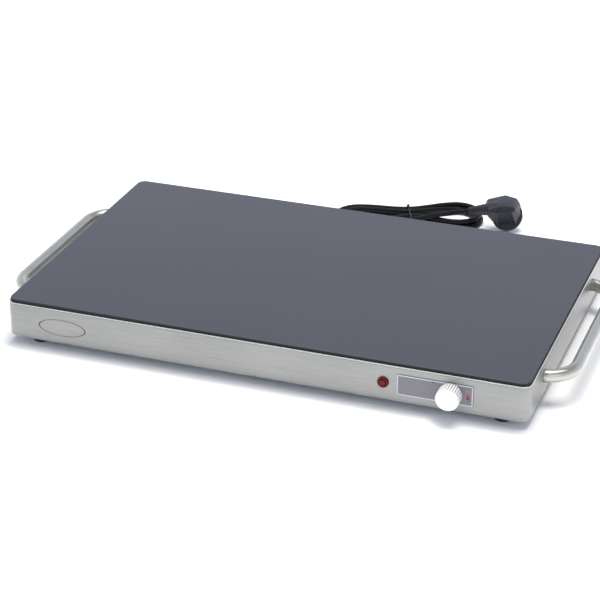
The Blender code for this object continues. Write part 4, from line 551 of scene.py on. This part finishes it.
def ceramic_glass():
    """Black ceramic glass over a fine matt print: bluish grey on top, with painted shade that makes
    its ground edge near black.
    """
    made, tree, shader, place = finish("smoked_ceramic_glass", "#2B3040", {
        "Roughness": 0.10, "IOR": 1.52})
    dots = add(tree, "ShaderNodeTexVoronoi", {"Scale": 700.0, "Randomness": 0.15},
               [("Vector", place, "Object")])
    haze = add(tree, "ShaderNodeTexNoise", {"Scale": 6.0, "Detail": 2.0},
               [("Vector", place, "Object")])
    depth = add(tree, "ShaderNodeMath", {"operation": "MULTIPLY_ADD", 1: 0.5},
                [(0, haze, "Fac"), (2, dots, "Distance")])
    tone = add(tree, "ShaderNodeMapRange", {"From Min": 0.2, "From Max": 1.0},
               [("Value", depth, "Value")])
    mix = add(tree, "ShaderNodeMix", {"data_type": "RGBA", 6: srgb("#262833"), 7: srgb("#333540")},
              [(0, tone, "Result")])
    # Painted shade: faces that don't face up, along the edge, are darkened near black
    facing = add(tree, "ShaderNodeSeparateXYZ", {}, [("Vector", place, "Normal")])
    flat = add(tree, "ShaderNodeMapRange", {"From Min": 0.45, "From Max": 0.80},
               [("Value", facing, "Z")])
    edge = add(tree, "ShaderNodeMix", {"data_type": "RGBA", 6: srgb("#101216")},
               [(0, flat, "Result"), (7, mix, 2)])
    gloss = add(tree, "ShaderNodeMapRange", {"To Min": 0.17, "To Max": 0.24},
                [("Value", haze, "Fac")])
    ground = add(tree, "ShaderNodeMapRange", {
        "From Min": 0.45, "From Max": 0.80, "To Min": 0.50, "To Max": 0.0},
        [("Value", facing, "Z")])
    dull = add(tree, "ShaderNodeMath", {"operation": "ADD"},
               [(0, gloss, "Result"), (1, ground, "Result")])
    wave = add(tree, "ShaderNodeBump", {"Strength": 0.04, "Distance": 0.0001},
               [("Height", dots, "Distance")])
    link(tree, shader, [("Base Color", edge, 2), ("Roughness", dull, "Value"),
                        ("Normal", wave, "Normal")])
    return made


def galvanised():
    """Hot-dip galvanised sheet: crystal spangles about 6 mm across, each with its own tone."""
    made, tree, shader, place = finish("galvanised_sheet_steel", "#A9ADB0", {
        "Metallic": 1.0, "Roughness": 0.45})
    spangle = add(tree, "ShaderNodeTexVoronoi", {"Scale": 160.0}, [("Vector", place, "Object")])
    mix = add(tree, "ShaderNodeMix", {"data_type": "RGBA", 6: srgb("#8F9498"), 7: srgb("#BEC2C4")},
              [(0, spangle, "Color")])
    gloss = add(tree, "ShaderNodeMapRange", {"To Min": 0.36, "To Max": 0.58},
                [("Value", spangle, "Color")])
    link(tree, shader, [("Base Color", mix, 2), ("Roughness", gloss, "Result")])
    return made


def plated(name, dark, light, roughness, cells=260.0):
    """Plated or bare small metal part: soft tumbled marks and a slight tone change."""
    made, tree, shader, place = finish(name, light, {"Metallic": 1.0, "Roughness": roughness})
    marks = add(tree, "ShaderNodeTexNoise", {"Scale": cells, "Detail": 4.0},
                [("Vector", place, "Object")])
    mix = add(tree, "ShaderNodeMix", {"data_type": "RGBA", 6: srgb(dark), 7: srgb(light)},
              [(0, marks, "Fac")])
    gloss = add(tree, "ShaderNodeMapRange", {
        "To Min": roughness - 0.08, "To Max": roughness + 0.10}, [("Value", marks, "Fac")])
    dents = add(tree, "ShaderNodeBump", {"Strength": 0.12, "Distance": 0.00004},
                [("Height", marks, "Fac")])
    link(tree, shader, [("Base Color", mix, 2), ("Roughness", gloss, "Result"),
                        ("Normal", dents, "Normal")])
    return made


def turned_aluminium(axis):
    """Bright turned, anodised aluminium: rings 0.8 mm apart on the face, and blue-grey painted
    shade in the grooves between the ribs.
    """
    made, tree, shader, place = finish("turned_anodised_aluminium", "#F4F5F6", {
        "Metallic": 0.35, "Roughness": 0.30})
    centred = add(tree, "ShaderNodeMapping", {
        "vector_type": "POINT", "Location": (-axis[0], -axis[1], -axis[2])},
        [("Vector", place, "Object")])
    rings = add(tree, "ShaderNodeTexWave", {
        "wave_type": "RINGS", "rings_direction": "Y", "Scale": 400.0, "Distortion": 0.6,
        "Detail": 2.0}, [("Vector", centred, "Vector")])
    mix = add(tree, "ShaderNodeMix", {"data_type": "RGBA", 6: srgb("#ECEEF0"), 7: srgb("#FDFDFD")},
              [(0, rings, "Fac")])
    # Painted shade: the grooves between the ribs round the side are darkened blue-grey, as if in
    # shadow
    upright = add(tree, "ShaderNodeMapping", {"Rotation": TO_REAR}, [("Vector", centred, "Vector")])
    angle = add(tree, "ShaderNodeTexGradient", {"gradient_type": "RADIAL"},
                [("Vector", upright, "Vector")])
    teeth = add(tree, "ShaderNodeMath", {"operation": "MULTIPLY", 1: float(KNOB_RIBS)},
                [(0, angle, "Fac")])
    wave = add(tree, "ShaderNodeMath", {"operation": "PINGPONG", 1: 0.5}, [(0, teeth, "Value")])
    groove = add(tree, "ShaderNodeMapRange", {
        "From Min": 0.06, "From Max": 0.20, "To Min": 1.0, "To Max": 0.0},
        [("Value", wave, "Value")])
    facing = add(tree, "ShaderNodeSeparateXYZ", {}, [("Vector", place, "Normal")])
    side = add(tree, "ShaderNodeMapRange", {"From Min": -0.75, "From Max": -0.45},
               [("Value", facing, "Y")])
    painted_groove_shade = add(tree, "ShaderNodeMath", {"operation": "MULTIPLY"},
                [(0, groove, "Result"), (1, side, "Result")])
    shade = add(tree, "ShaderNodeMix", {"data_type": "RGBA", 7: srgb("#66727E")},
                [(0, painted_groove_shade, "Value"), (6, mix, 2)])
    gloss = add(tree, "ShaderNodeMapRange", {"To Min": 0.24, "To Max": 0.34},
                [("Value", rings, "Fac")])
    grooves = add(tree, "ShaderNodeBump", {"Strength": 0.15, "Distance": 0.00003},
                  [("Height", rings, "Fac")])
    link(tree, shader, [("Base Color", shade, 2), ("Roughness", gloss, "Result"),
                        ("Normal", grooves, "Normal")])
    return made


def lens_red():
    """Clear red polycarbonate with a prismatic back that darkens its middle."""
    made, tree, shader, place = finish("clear_red_polycarbonate", "#7A0D14", {
        "Roughness": 0.16, "IOR": 1.585, "Specular IOR Level": 0.25})
    facets = add(tree, "ShaderNodeTexVoronoi", {"Scale": 420.0, "Randomness": 0.2},
                 [("Vector", place, "Object")])
    mix = add(tree, "ShaderNodeMix", {"data_type": "RGBA", 6: srgb("#460A0E"), 7: srgb("#80131A")},
              [(0, facets, "Distance")])
    link(tree, shader, [("Base Color", mix, 2)])
    return made


def wedge_ink(height):
    """Red screen ink of the heat wedge, pale at its narrow top and deep red at its foot."""
    made, tree, shader, place = finish("red_label_ink", "#B4232B", {"Roughness": 0.40})
    up = add(tree, "ShaderNodeSeparateXYZ", {}, [("Vector", place, "Object")])
    fade = add(tree, "ShaderNodeMapRange", {
        "From Min": height - 0.0030, "From Max": height + 0.0070}, [("Value", up, "Z")])
    mix = add(tree, "ShaderNodeMix", {"data_type": "RGBA", 6: srgb("#8C1119"), 7: srgb("#B87C82")},
              [(0, fade, "Result")])
    link(tree, shader, [("Base Color", mix, 2)])
    return made


def wool():
    """Ceramic fibre mat: matted white fibres with shallow felted hollows."""
    made, tree, shader, place = finish("ceramic_fibre_mat", "#E6E3DA", {"Roughness": 0.95})
    stretched = add(tree, "ShaderNodeMapping", {"Scale": (300, 900, 900)},
                    [("Vector", place, "Object")])
    felt = add(tree, "ShaderNodeTexNoise", {"Scale": 1.0, "Detail": 6.0, "Distortion": 1.5},
               [("Vector", stretched, "Vector")])
    mix = add(tree, "ShaderNodeMix", {"data_type": "RGBA", 6: srgb("#CFCBBF"), 7: srgb("#F2F0EA")},
              [(0, felt, "Fac")])
    tufts = add(tree, "ShaderNodeBump", {"Strength": 0.8, "Distance": 0.0006},
                [("Height", felt, "Fac")])
    link(tree, shader, [("Base Color", mix, 2), ("Normal", tufts, "Normal")])
    return made


def two_colour_wire():
    """Extruded PVC core of the earth wire: green with a yellow stripe."""
    made, tree, shader, place = finish("green_yellow_pvc", "#3E8A2E", {"Roughness": 0.35})
    stripe = add(tree, "ShaderNodeTexWave", {"Scale": 90.0, "Distortion": 0.4},
                 [("Vector", place, "Object")])
    edge = add(tree, "ShaderNodeMapRange", {"From Min": 0.60, "From Max": 0.66},
               [("Value", stripe, "Fac")])
    mix = add(tree, "ShaderNodeMix", {"data_type": "RGBA", 6: srgb("#2F7A2B"), 7: srgb("#D9C62B")},
              [(0, edge, "Result")])
    link(tree, shader, [("Base Color", mix, 2)])
    return made


# Pieces that take the place of plainer CAD nodes

def build_band(steel, painted_highlight_steel):
    """Folded stainless band: rounded corners, flange under the glass, lip below, and its holes."""
    length, depth, height = RIGHT - LEFT, REAR - FRONT, SHELL_TOP - SHELL_FOOT
    band = block("brushed_steel_band", (0, BODY_Y, MIDDLE_HEIGHT), (length, depth, height))
    edit_all()
    pick(band, "EDGE", lambda e: abs(e.verts[0].co.z - e.verts[1].co.z) > height / 2)
    bpy.ops.mesh.bevel(offset=CORNER_RADIUS, segments=12, profile=0.5, affect="EDGES")
    for level, steps in ((SHELL_TOP, 5), (SHELL_FOOT, 4)):
        pick(band, "FACE", lambda f: all(abs(v.co.z - level) < FIT for v in f.verts))
        bpy.ops.mesh.inset(thickness=FLANGE_WIDTH, use_even_offset=True)
        bpy.ops.mesh.delete(type="FACE")
        pick(band, "EDGE", lambda e: (all(abs(v.co.z - level) < FIT for v in e.verts)
                                      and any(abs(f.normal.z) < 0.5 for f in e.link_faces)
                                      and len(e.link_faces) == 2))
        bpy.ops.mesh.bevel(offset=BEND_RADIUS, segments=steps, profile=0.5, affect="EDGES")
    bpy.ops.mesh.select_all(action="SELECT")
    bpy.ops.mesh.normals_make_consistent(inside=False)
    bpy.ops.object.mode_set(mode="OBJECT")
    sheet = band.modifiers.new("sheet", "SOLIDIFY")
    sheet.thickness = SHEET
    sheet.offset = -1
    sheet.use_even_offset = True
    apply_modifiers(band)
    for radius, x, wall in ((0.0054, KNOB_PLACE[0], FRONT), (0.0049, LAMP_PLACE[0], FRONT),
                            (0.0070, GLAND_PLACE[0], REAR)):
        bored(band, radius, (x, wall, MIDDLE_HEIGHT), TO_FRONT)
    take(band)
    bpy.ops.object.shade_smooth_by_angle(angle=math.radians(35))
    dress(band, "tray", "brushed_stainless", steel, "housing_shell")

    # The bend's bright line beside the glass: a polished bead in steel paler than the band's, a
    # painted highlight
    deselect_all()
    bpy.ops.mesh.primitive_plane_add(size=1, location=(0, BODY_Y, SHELL_TOP + 0.0002))
    hem = started("band_hem", (length - 2 * HEM_RADIUS, depth - 2 * HEM_RADIUS, 1))
    edit_all()
    bpy.ops.mesh.bevel(offset=CORNER_RADIUS - HEM_RADIUS, segments=12, affect="VERTICES")
    bpy.ops.mesh.delete(type="ONLY_FACE")
    bpy.ops.object.mode_set(mode="OBJECT")
    bpy.ops.object.convert(target="CURVE")
    hem = bpy.context.object
    hem.data.bevel_depth = HEM_RADIUS
    hem.data.bevel_resolution = 4
    bpy.ops.object.convert(target="MESH")
    hem = settle(bpy.context.object, 60)
    dress(hem, "tray", "brushed_stainless", painted_highlight_steel)


def build_handles(bar_steel):
    """Bent round bars with smooth bends that end square on the end walls."""
    bend, steps = 0.035, 24
    wall = RIGHT + FIT
    for name, side in (("left", -1), ("right", 1)):
        low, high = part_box("handle_" + name)
        height = (low[2] + high[2]) / 2
        radius = (high[2] - low[2]) / 2
        bar = (high[0] if side > 0 else -low[0]) - radius
        half = (high[1] - low[1]) / 2 - radius
        middle = (low[1] + high[1]) / 2
        first = math.asin((wall + 0.002 - (bar - bend)) / bend)
        near = [(wall, half - bend + bend * math.cos(first))]
        for i in range(steps + 1):
            a = first + (QUARTER_TURN - first) * i / steps
            near.append((bar - bend + bend * math.sin(a), half - bend + bend * math.cos(a)))
        path = [(side * x, middle - y, height) for x, y in near]
        path += [(side * x, middle + y, height) for x, y in reversed(near)]
        dress(round_bar("bar_handle_" + name, path, radius, 12), "tray", "satin_stainless_bar",
              bar_steel, "handle_" + name)


def build_knob(material):
    """Fluted knob with ribs round its side, a raised rim, a shallow dish and its pointer notch."""
    x, y, z = KNOB_PLACE
    low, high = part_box("control_knob")
    radius, front, back = (high[0] - low[0]) / 2, -(low[1] - FRONT), -(high[1] - FRONT)
    chamfer, around = 0.0009, KNOB_RIBS * 4
    levels = [(radius - chamfer / 2, back), (radius, back + chamfer), (radius, front - chamfer),
              (radius - chamfer / 3, front - chamfer / 3), (radius - chamfer, front),
              (radius - 0.0026, front), (radius - 0.0030, front - 0.0003)]
    knob = drawn_out("fluted_knob", around, levels)
    edit_all()
    # Every fourth line down the side goes in, which leaves a rib between two grooves
    step = 2 * HALF_TURN / around
    pick(knob, "EDGE", lambda e: (
        abs(e.verts[0].co.z - e.verts[1].co.z) > front / 2
        and round(math.atan2(e.verts[0].co.y, e.verts[0].co.x) / step) % 4 == 0))
    bpy.ops.transform.resize(value=(0.935, 0.935, 1), center_override=(0, 0, 0))
    bpy.ops.object.mode_set(mode="OBJECT")
    set_down(knob, (x, y, z), TO_FRONT, angle=38)
    bored(knob, 0.0095, (x, FRONT - back - 0.001, z), TO_FRONT, 0.012)
    bored(knob, 0.0033, (x, FRONT - back - 0.004, z), TO_FRONT, 0.0156)
    notch = block("pointer_notch", (x, FRONT - front, z + radius * 0.60), (0.0012, 0.0012, 0.0062))
    joined(knob, notch, "DIFFERENCE")
    take(knob)
    bpy.ops.object.shade_smooth_by_angle(angle=math.radians(38))
    dress(knob, "knob", "bright_knob", material, "control_knob")


def build_lamp(red, bezel):
    """Red lens with a rounded outer ring, a groove and a flat middle, in a thin dark collar."""
    x, y, z = LAMP_PLACE
    rings = [(0.0045, -0.0010), (0.0045, 0.0003), (0.0061, 0.0003), (0.0063, 0.0008),
             (0.0062, 0.0016), (0.0058, 0.0022), (0.0052, 0.0024), (0.0046, 0.0021),
             (0.0041, 0.0013), (0.0037, 0.0012), (0.0034, 0.0022), (0.0030, 0.0027),
             (0.0022, 0.0029)]
    lens = drawn_out("lamp_lens", 48, rings, (x, y, z), TO_FRONT, angle=50)
    dress(lens, "tray", "red_lens", red, "pilot_lamp_lens")
    deselect_all()
    bpy.ops.mesh.primitive_torus_add(major_radius=0.00635, minor_radius=0.00022,
                                     major_segments=64, minor_segments=10)
    collar = set_down(started("lamp_collar"), (x, y - 0.0003, z), TO_FRONT, angle=60)
    dress(collar, "tray", "dark_moulded_plastic", bezel)


def build_feet(rubber):
    """Rubber feet with a rounded rim and a screw pocket: one is turned, and the others copy it."""
    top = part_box("foot_front_left")[1][2]
    model = drawn_out("foot_model", 48, [
        (0.0023, top), (0.0083, top), (0.0085, top - 0.0006), (0.0094, 0.0028),
        (0.0095, 0.0018), (0.0093, 0.0008), (0.0088, 0.0002), (0.0083, 0), (0.0050, 0),
        (0.0048, 0.0002), (0.0048, 0.0040), (0.0023, 0.0040)], angle=40, hollow=True)
    for corner in ("front_left", "front_right", "rear_left", "rear_right"):
        low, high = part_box("foot_" + corner)
        foot = copied(model, "rubber_foot_" + corner)
        set_down(foot, ((low[0] + high[0]) / 2, (low[1] + high[1]) / 2, 0), angle=40)
        dress(foot, "tray", "black_rubber", rubber, "foot_" + corner)
    bpy.data.objects.remove(model, do_unlink=True)


def build_gland(rubber):
    """Ribbed strain relief: a snap flange and a taper cut by rings so that it can bend."""
    tip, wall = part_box("cord_bushing")[1][1] - REAR, -0.008
    bore = CORD_DIAMETER / 2 + FIT
    root, thick, narrows, deep, ribs = 0.0028, 0.0068, 0.0022, 0.0009, 6
    rings = [(bore, wall), (0.0066, wall), (0.0066, FIT), (0.0091, FIT), (0.0095, 0.0007),
             (0.0095, 0.0024), (0.0091, root), (thick, root)]
    for rib in range(ribs):
        near = root + (tip - root) * (rib + 0.45) / ribs
        far = root + (tip - root) * (rib + 0.55) / ribs
        for height, cut in ((near, 0), (near + 0.0003, deep), (far + 0.0006, deep),
                            (far + 0.0009, 0)):
            rings.append((thick - narrows * (height - root) / (tip - root) - cut, height))
    rings += [(0.0046, tip - 0.0005), (0.0043, tip), (bore, tip)]
    gland = drawn_out("ribbed_strain_relief", 48, rings, (GLAND_PLACE[0], REAR, MIDDLE_HEIGHT),
                      TO_REAR, angle=40, hollow=True)
    dress(gland, "tray", "black_rubber", rubber, "cord_bushing")


def plug_grip(thickness):
    """The plug's grip: a faceted disc drawn up to a narrow ridge, with a recess in one side."""
    size, ridge_level = 0.0255, -0.020
    shares = ((0.0, 1.02), (-0.92, 0.90), (-1.08, 0.62), (-0.98, 0.02), (-0.46, -0.66),
              (0.42, -0.66), (0.74, -0.10), (0.72, 0.50), (0.56, 0.80))
    deselect_all()
    bpy.ops.mesh.primitive_circle_add(vertices=len(shares), radius=1, fill_type="NGON",
                                      location=(0, 0, thickness / 2))
    grip = started("plug_grip")
    for vertex, (u, v) in zip(grip.data.vertices, shares):
        vertex.co.x, vertex.co.y = u * size, -v * size
    edit_all()
    bpy.ops.mesh.select_mode(type="FACE")
    bpy.ops.mesh.extrude_region_move(
        TRANSFORM_OT_translate={"value": (0, 0, -thickness / 2 - 0.024)})
    bpy.ops.transform.resize(value=(0.74, 0.18, 1), center_override=(0, -0.0050, 0))
    # The ridge's middle is pulled out, so that a crease parts the two upper faces
    pick(grip, "VERT", lambda v: abs(v.co.x) < FIT and v.co.z < ridge_level)
    bpy.ops.transform.translate(value=(0, -0.0012, -0.0045))
    bpy.ops.mesh.select_all(action="SELECT")
    bpy.ops.mesh.normals_make_consistent(inside=False)
    pick(grip, "FACE", lambda f: f.normal.y > 0.4 and abs(f.normal.x) < 0.1 and f.normal.z < -0.1)
    bpy.ops.mesh.inset(thickness=0.0024, depth=-0.0028)
    bpy.ops.object.mode_set(mode="OBJECT")
    soft = grip.modifiers.new("edges", "BEVEL")
    soft.width, soft.segments, soft.limit_method = 0.0016, 4, "ANGLE"
    return apply_modifiers(grip)


def plug_neck():
    """The plug's neck, ribbed where the cord enters it."""
    rings = [(0.0046, PLUG_NECK_REACH), (0.0048, 0.0455)]
    for rib in range(3):
        level, swell = 0.0434 - 0.0026 * rib, 0.0050 + 0.00035 * rib
        rings += [(swell, level + 0.0006), (swell - 0.0008, level + 0.0004),
                  (swell - 0.0008, level - 0.0004), (swell, level - 0.0006)]
    rings += [(0.0062, 0.0355), (0.0072, 0.0270), (0.0080, 0.0190), (0.0080, 0.0072)]
    neck = drawn_out("plug_neck", 48, rings)
    neck.matrix_world = (Matrix.Translation((0, -PLUG_NECK_RISE, -PLUG_NECK_BACK))
                         @ Matrix.Rotation(-QUARTER_TURN, 4, "Y"))
    return apply_place(neck)


def build_plug(moulding, nickel):
    """Right-angle two-pin plug: round face, roof-shaped grip and ribbed neck in one moulding.

    In the plug's own frame X runs along the neck, -Y up to the ridge and Z out along the pins.
    """
    along, pins, ridge, _ = plug_frame()
    to_world = (Matrix.Translation(Vector(PLUG_MIDDLE))
                @ Matrix((along, -ridge, pins)).transposed().to_4x4())
    thickness, radius = 0.0085, 0.0198
    plug = drawn_out("angled_plug", 72, [
        (radius - 0.0012, 0), (radius - 0.0003, 0.0003), (radius, 0.0012),
        (radius, thickness - 0.0012), (radius - 0.0003, thickness - 0.0003),
        (radius - 0.0012, thickness)])
    joined(plug, plug_grip(thickness))
    joined(plug, plug_neck())
    for way in (-1, 1):
        bored(plug, 0.0027, (0, way * PLUG_PIN_OFFSET, thickness), (0, 0, 0))
    bored(plug, 0.0028, (0.0100, 0, thickness), (0, 0, 0), 0.016)
    for side in (-1, 1):
        joined(plug, block("earth_slot", (side * 0.0200, 0, thickness - 0.0020),
                           (0.0050, 0.0052, 0.0062)), "DIFFERENCE")
    plug.matrix_world = to_world
    dress(settle(plug, 30), "tray", "black_cord_sheath", moulding, "plug_body")

    model = drawn_out("pin_model", 32, [
        (0.0024, -0.0037), (0.0024, 0.0166), (0.0022, 0.0174), (0.0017, 0.0181),
        (0.0010, 0.0184)])
    for name, way in (("lower", 1), ("upper", -1)):
        pin = copied(model, "plug_contact_" + name)
        pin.matrix_world = to_world @ Matrix.Translation((0, way * PLUG_PIN_OFFSET, thickness))
        dress(settle(pin, 40), "tray", "nickel_pins", nickel, "plug_pin_" + name)
    bpy.data.objects.remove(model, do_unlink=True)


def inked(piece):
    """Give flat print its thickness."""
    layer = piece.modifiers.new("ink", "SOLIDIFY")
    layer.thickness = INK
    layer.offset = 0
    return settle(apply_modifiers(piece))


def build_label(border, red):
    """Print on the film beside the knob: a pale border, and a heat wedge that grows to its foot."""
    low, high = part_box("control_label")
    face = low[1] - PRINT_LIFT
    margin = 0.0008
    deselect_all()
    bpy.ops.mesh.primitive_plane_add(
        size=1, location=((low[0] + high[0]) / 2, face, (low[2] + high[2]) / 2), rotation=TO_FRONT)
    line = started("label_border", (high[0] - low[0] - margin, high[2] - low[2] - margin, 1))
    edit_all()
    bpy.ops.mesh.bevel(offset=0.0018, segments=6, affect="VERTICES")
    bpy.ops.mesh.select_mode(type="FACE")
    bpy.ops.mesh.select_all(action="SELECT")
    bpy.ops.mesh.inset(thickness=0.0013)
    bpy.ops.mesh.delete(type="FACE")
    bpy.ops.object.mode_set(mode="OBJECT")
    dress(inked(line), "tray", "printed_label", border)

    x, _, z = KNOB_PLACE
    mesh = bmesh.new()
    steps, reach = 40, 0.0188
    rows = []
    for i in range(steps + 1):
        share = i / steps
        angle = math.radians(22 - 34 * share)
        half = 0.0003 + 0.0019 * share
        rows.append([mesh.verts.new((x + r * math.cos(angle), face, z + r * math.sin(angle)))
                     for r in (reach - half, reach + half)])
    for (a, b), (c, d) in zip(rows, rows[1:]):
        mesh.faces.new((a, b, d, c))
    data = bpy.data.meshes.new("heat_wedge")
    mesh.to_mesh(data)
    mesh.free()
    wedge = bpy.data.objects.new("heat_wedge", data)
    bpy.context.scene.collection.objects.link(wedge)
    dress(inked(wedge), "tray", "printed_label", red)


def build_ticks(ink):
    """Three small dark strokes on the label: left of the knob, and at each end of the wedge."""
    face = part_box("control_label")[0][1] - PRINT_LIFT
    strokes = []
    for x, z, long, turn in ((0.1968, 0.0397, 0.0040, 20), (0.2356, 0.0395, 0.0012, 0),
                             (0.2359, 0.0240, 0.0012, 0)):
        deselect_all()
        bpy.ops.mesh.primitive_plane_add(size=1, location=(x, face, z),
                                         rotation=(QUARTER_TURN, math.radians(turn), 0))
        strokes.append(started("label_strokes", (long, 0.0013, 1)))
        edit_all()
        bpy.ops.mesh.bevel(offset=0.0003, segments=3, affect="VERTICES")
        bpy.ops.object.mode_set(mode="OBJECT")
    first = take(strokes[0])
    for stroke in strokes[1:]:
        stroke.select_set(True)
    bpy.ops.object.join()
    dress(inked(first), "tray", "printed_label", ink)


def build_badge(ink):
    """Plain etched oval line on the front wall, empty inside."""
    deselect_all()
    bpy.ops.mesh.primitive_torus_add(major_radius=0.028, minor_radius=0.00078, major_segments=96,
                                     minor_segments=8, rotation=TO_FRONT,
                                     location=(-0.232, FRONT, MIDDLE_HEIGHT - 0.0012))
    oval = settle(started("plain_oval_line", (1, 0.345, 0.3)), 60)
    dress(oval, "tray", "dark_moulded_plastic", ink)


def build_tie(plastic):
    """Coated wire tie round the waist of the hank, its ends twisted together."""
    stand_off = 0.00125          # the tie's middle line from the cord's surface
    radius, pitch = 0.00062, 0.0045
    corner = CORD_DIAMETER / 2
    near = hank_point(HANK_LOOPS + 0.10)[1] - corner - stand_off
    far = hank_point(HANK_LOOPS - 0.35)[1] + corner + stand_off
    waist = HANK_FLOOR_GAP + HANK_TIE_LIFT
    low = waist - stand_off
    high = waist + HANK_LAYER_STEP + CORD_DIAMETER + stand_off
    twist = far * 0.35
    beside = twist + 0.0019
    ring = [(twist, high)]
    for turn, sv, sw in ((1, -1, 1), (2, -1, -1), (3, 1, -1), (0, 1, 1)):
        for i in range(9):
            angle = QUARTER_TURN * (turn + i / 8)
            ring.append(((near + corner if sv < 0 else far - corner) + corner * math.cos(angle),
                         (high - corner if sw > 0 else low + corner) + corner * math.sin(angle)))
    ring.append((beside, high))
    centre = (twist + beside) / 2
    ends = [[hank_world(way * 0.0009 * math.sin(t), centre - way * 0.00095 * math.cos(t),
                        high + pitch * t / 6.3) for t in (0.7 * i for i in range(1, 10))]
            for way in (1, -1)]
    line = ends[0][::-1] + [hank_world(0, v, w) for v, w in ring] + ends[1]
    dress(round_bar("wire_tie", line, radius, 4), "tray", "tie_plastic", plastic, "twist_tie")


def all_finishes():
    """Every finish on the tray, each by a short name for what carries it."""
    even = (60, 60, 60)         # soft patches 17 mm wide, with no direction
    smooth = 300.0              # film, ink and thin coats: a soft 3 mm grain
    return {
        "glass": ceramic_glass(),
        "band": brushed("brushed_304_sheet", "#949492", "#B3B3B1", 0.36, (16, 16, 1700),
                        streak=0.06, bump=0.05, across=0.8),
        "bar": brushed("satin_304_bar", "#BDBCB5", "#CAC9C2", 0.25, even, streak=0.04, bump=0.0),
        # The bead's steel is paler than the band's, a painted highlight; its lower roughness is its
        # polish
        "rim": brushed("polished_304_edge_painted_highlight", "#D9D9D6", "#E6E6E3", 0.20, even, streak=0.04,
                       bump=0.0),
        "spreader": brushed("rolled_aluminium_plate", "#B9BBBD", "#D6D8DA", 0.35,
                            (40, 900, 900), bump=0.05),
        "knob": turned_aluminium(KNOB_PLACE),
        "zinc_sheet": galvanised(),
        "zinc": plated("zinc_plated_screw_steel", "#A4A6A3", "#C9CBC8", 0.32),
        "nickel": plated("nickel_plated_brass", "#B9B4A6", "#DAD6CB", 0.20),
        "copper": plated("drawn_copper", "#B06A44", "#D99468", 0.28),
        "element": plated("heat_stained_nickel_alloy", "#3B332E", "#6B5C50", 0.42, cells=90.0),
        "wool": wool(),
        "rubber": moulded("black_moulded_rubber", "#0F0F10", "#242527", 0.62, grain=500.0),
        "silicone": moulded("grey_silicone_bead", "#2C2C2E", "#3A3A3D", 0.55, grain=200.0,
                            bump=0.1),
        "phenolic": moulded("black_phenolic", "#121212", "#1F1E1D", 0.40, bump=0.12),
        "nylon": moulded("cream_terminal_nylon", "#D9D2BE", "#E6E0CF", 0.45, bump=0.15),
        "sheath": moulded("black_pvc_sheath", "#090A0E", "#121319", 0.48, grain=700.0, bump=0.12,
                          shine=0.20),
        "plug": moulded("black_moulded_pvc", "#161820", "#22252E", 0.42, grain=600.0, bump=0.12,
                        shine=0.45),
        "brown": moulded("brown_pvc_core", "#4A2A17", "#5C3822", 0.36, smooth, bump=0.05),
        "blue": moulded("blue_pvc_core", "#1E4FA8", "#2A5FBC", 0.36, smooth, bump=0.05),
        "green_yellow": two_colour_wire(),
        "tie": moulded("dark_tie_coat", "#2B2C30", "#3A3C41", 0.45, smooth, bump=0.05),
        "lens": lens_red(),
        "film": moulded("mauve_grey_label_film", "#7C797E", "#858287", 0.34, smooth, bump=0.03),
        "border": moulded("pale_label_ink", "#C2CAD4", "#CBD2DB", 0.40, smooth, bump=0.03),
        "wedge": wedge_ink(KNOB_PLACE[2]),
        "etched": moulded("etched_mark", "#4A433A", "#565045", 0.50, smooth, bump=0.05),
    }


def dress_kept_nodes(finishes):
    """Give each CAD node that keeps its shape its finish."""
    screws = [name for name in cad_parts
              if name.startswith(("base_screw", "foot_screw", "handle_screw"))]
    kept = {
        "glass": ["glass_top"],
        "silicone": ["glass_seal"],
        "spreader": ["heat_spreader"],
        "zinc_sheet": ["element_tray", "base_plate"],
        "element": ["heating_element"],
        "wool": ["insulation_mat"],
        "zinc": ["element_clamp_left", "element_clamp_middle", "element_clamp_right",
                 "thermostat_nut", "thermostat_shaft", "earth_stud"] + screws,
        "copper": ["sensor_bulb", "capillary_tube"],
        "phenolic": ["thermostat_body", "pilot_lamp_body"],
        "nylon": ["terminal_block"],
        "film": ["control_label"],
        "green_yellow": ["earth_wire"],
        "brown": ["live_wire", "element_wire", "lamp_wire_live", "supply_wire_live"],
        "blue": ["neutral_wire", "lamp_wire_neutral", "supply_wire_neutral"],
    }
    for finish_name, nodes in kept.items():
        for name in nodes:
            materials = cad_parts[name].data.materials
            materials.clear()
            materials.append(finishes[finish_name])


def build_scene():
    """Everything, in the order in which it has to be made."""
    build_camera()
    build_studio()
    finishes = all_finishes()
    build_lead(finishes["sheath"])
    dress_kept_nodes(finishes)
    build_band(finishes["band"], finishes["rim"])
    build_handles(finishes["bar"])
    build_knob(finishes["knob"])
    build_lamp(finishes["lens"], finishes["phenolic"])
    build_feet(finishes["rubber"])
    build_gland(finishes["rubber"])
    build_plug(finishes["plug"], finishes["nickel"])
    build_label(finishes["border"], finishes["wedge"])
    build_ticks(finishes["etched"])
    build_badge(finishes["etched"])
    build_tie(finishes["tie"])


build_scene()
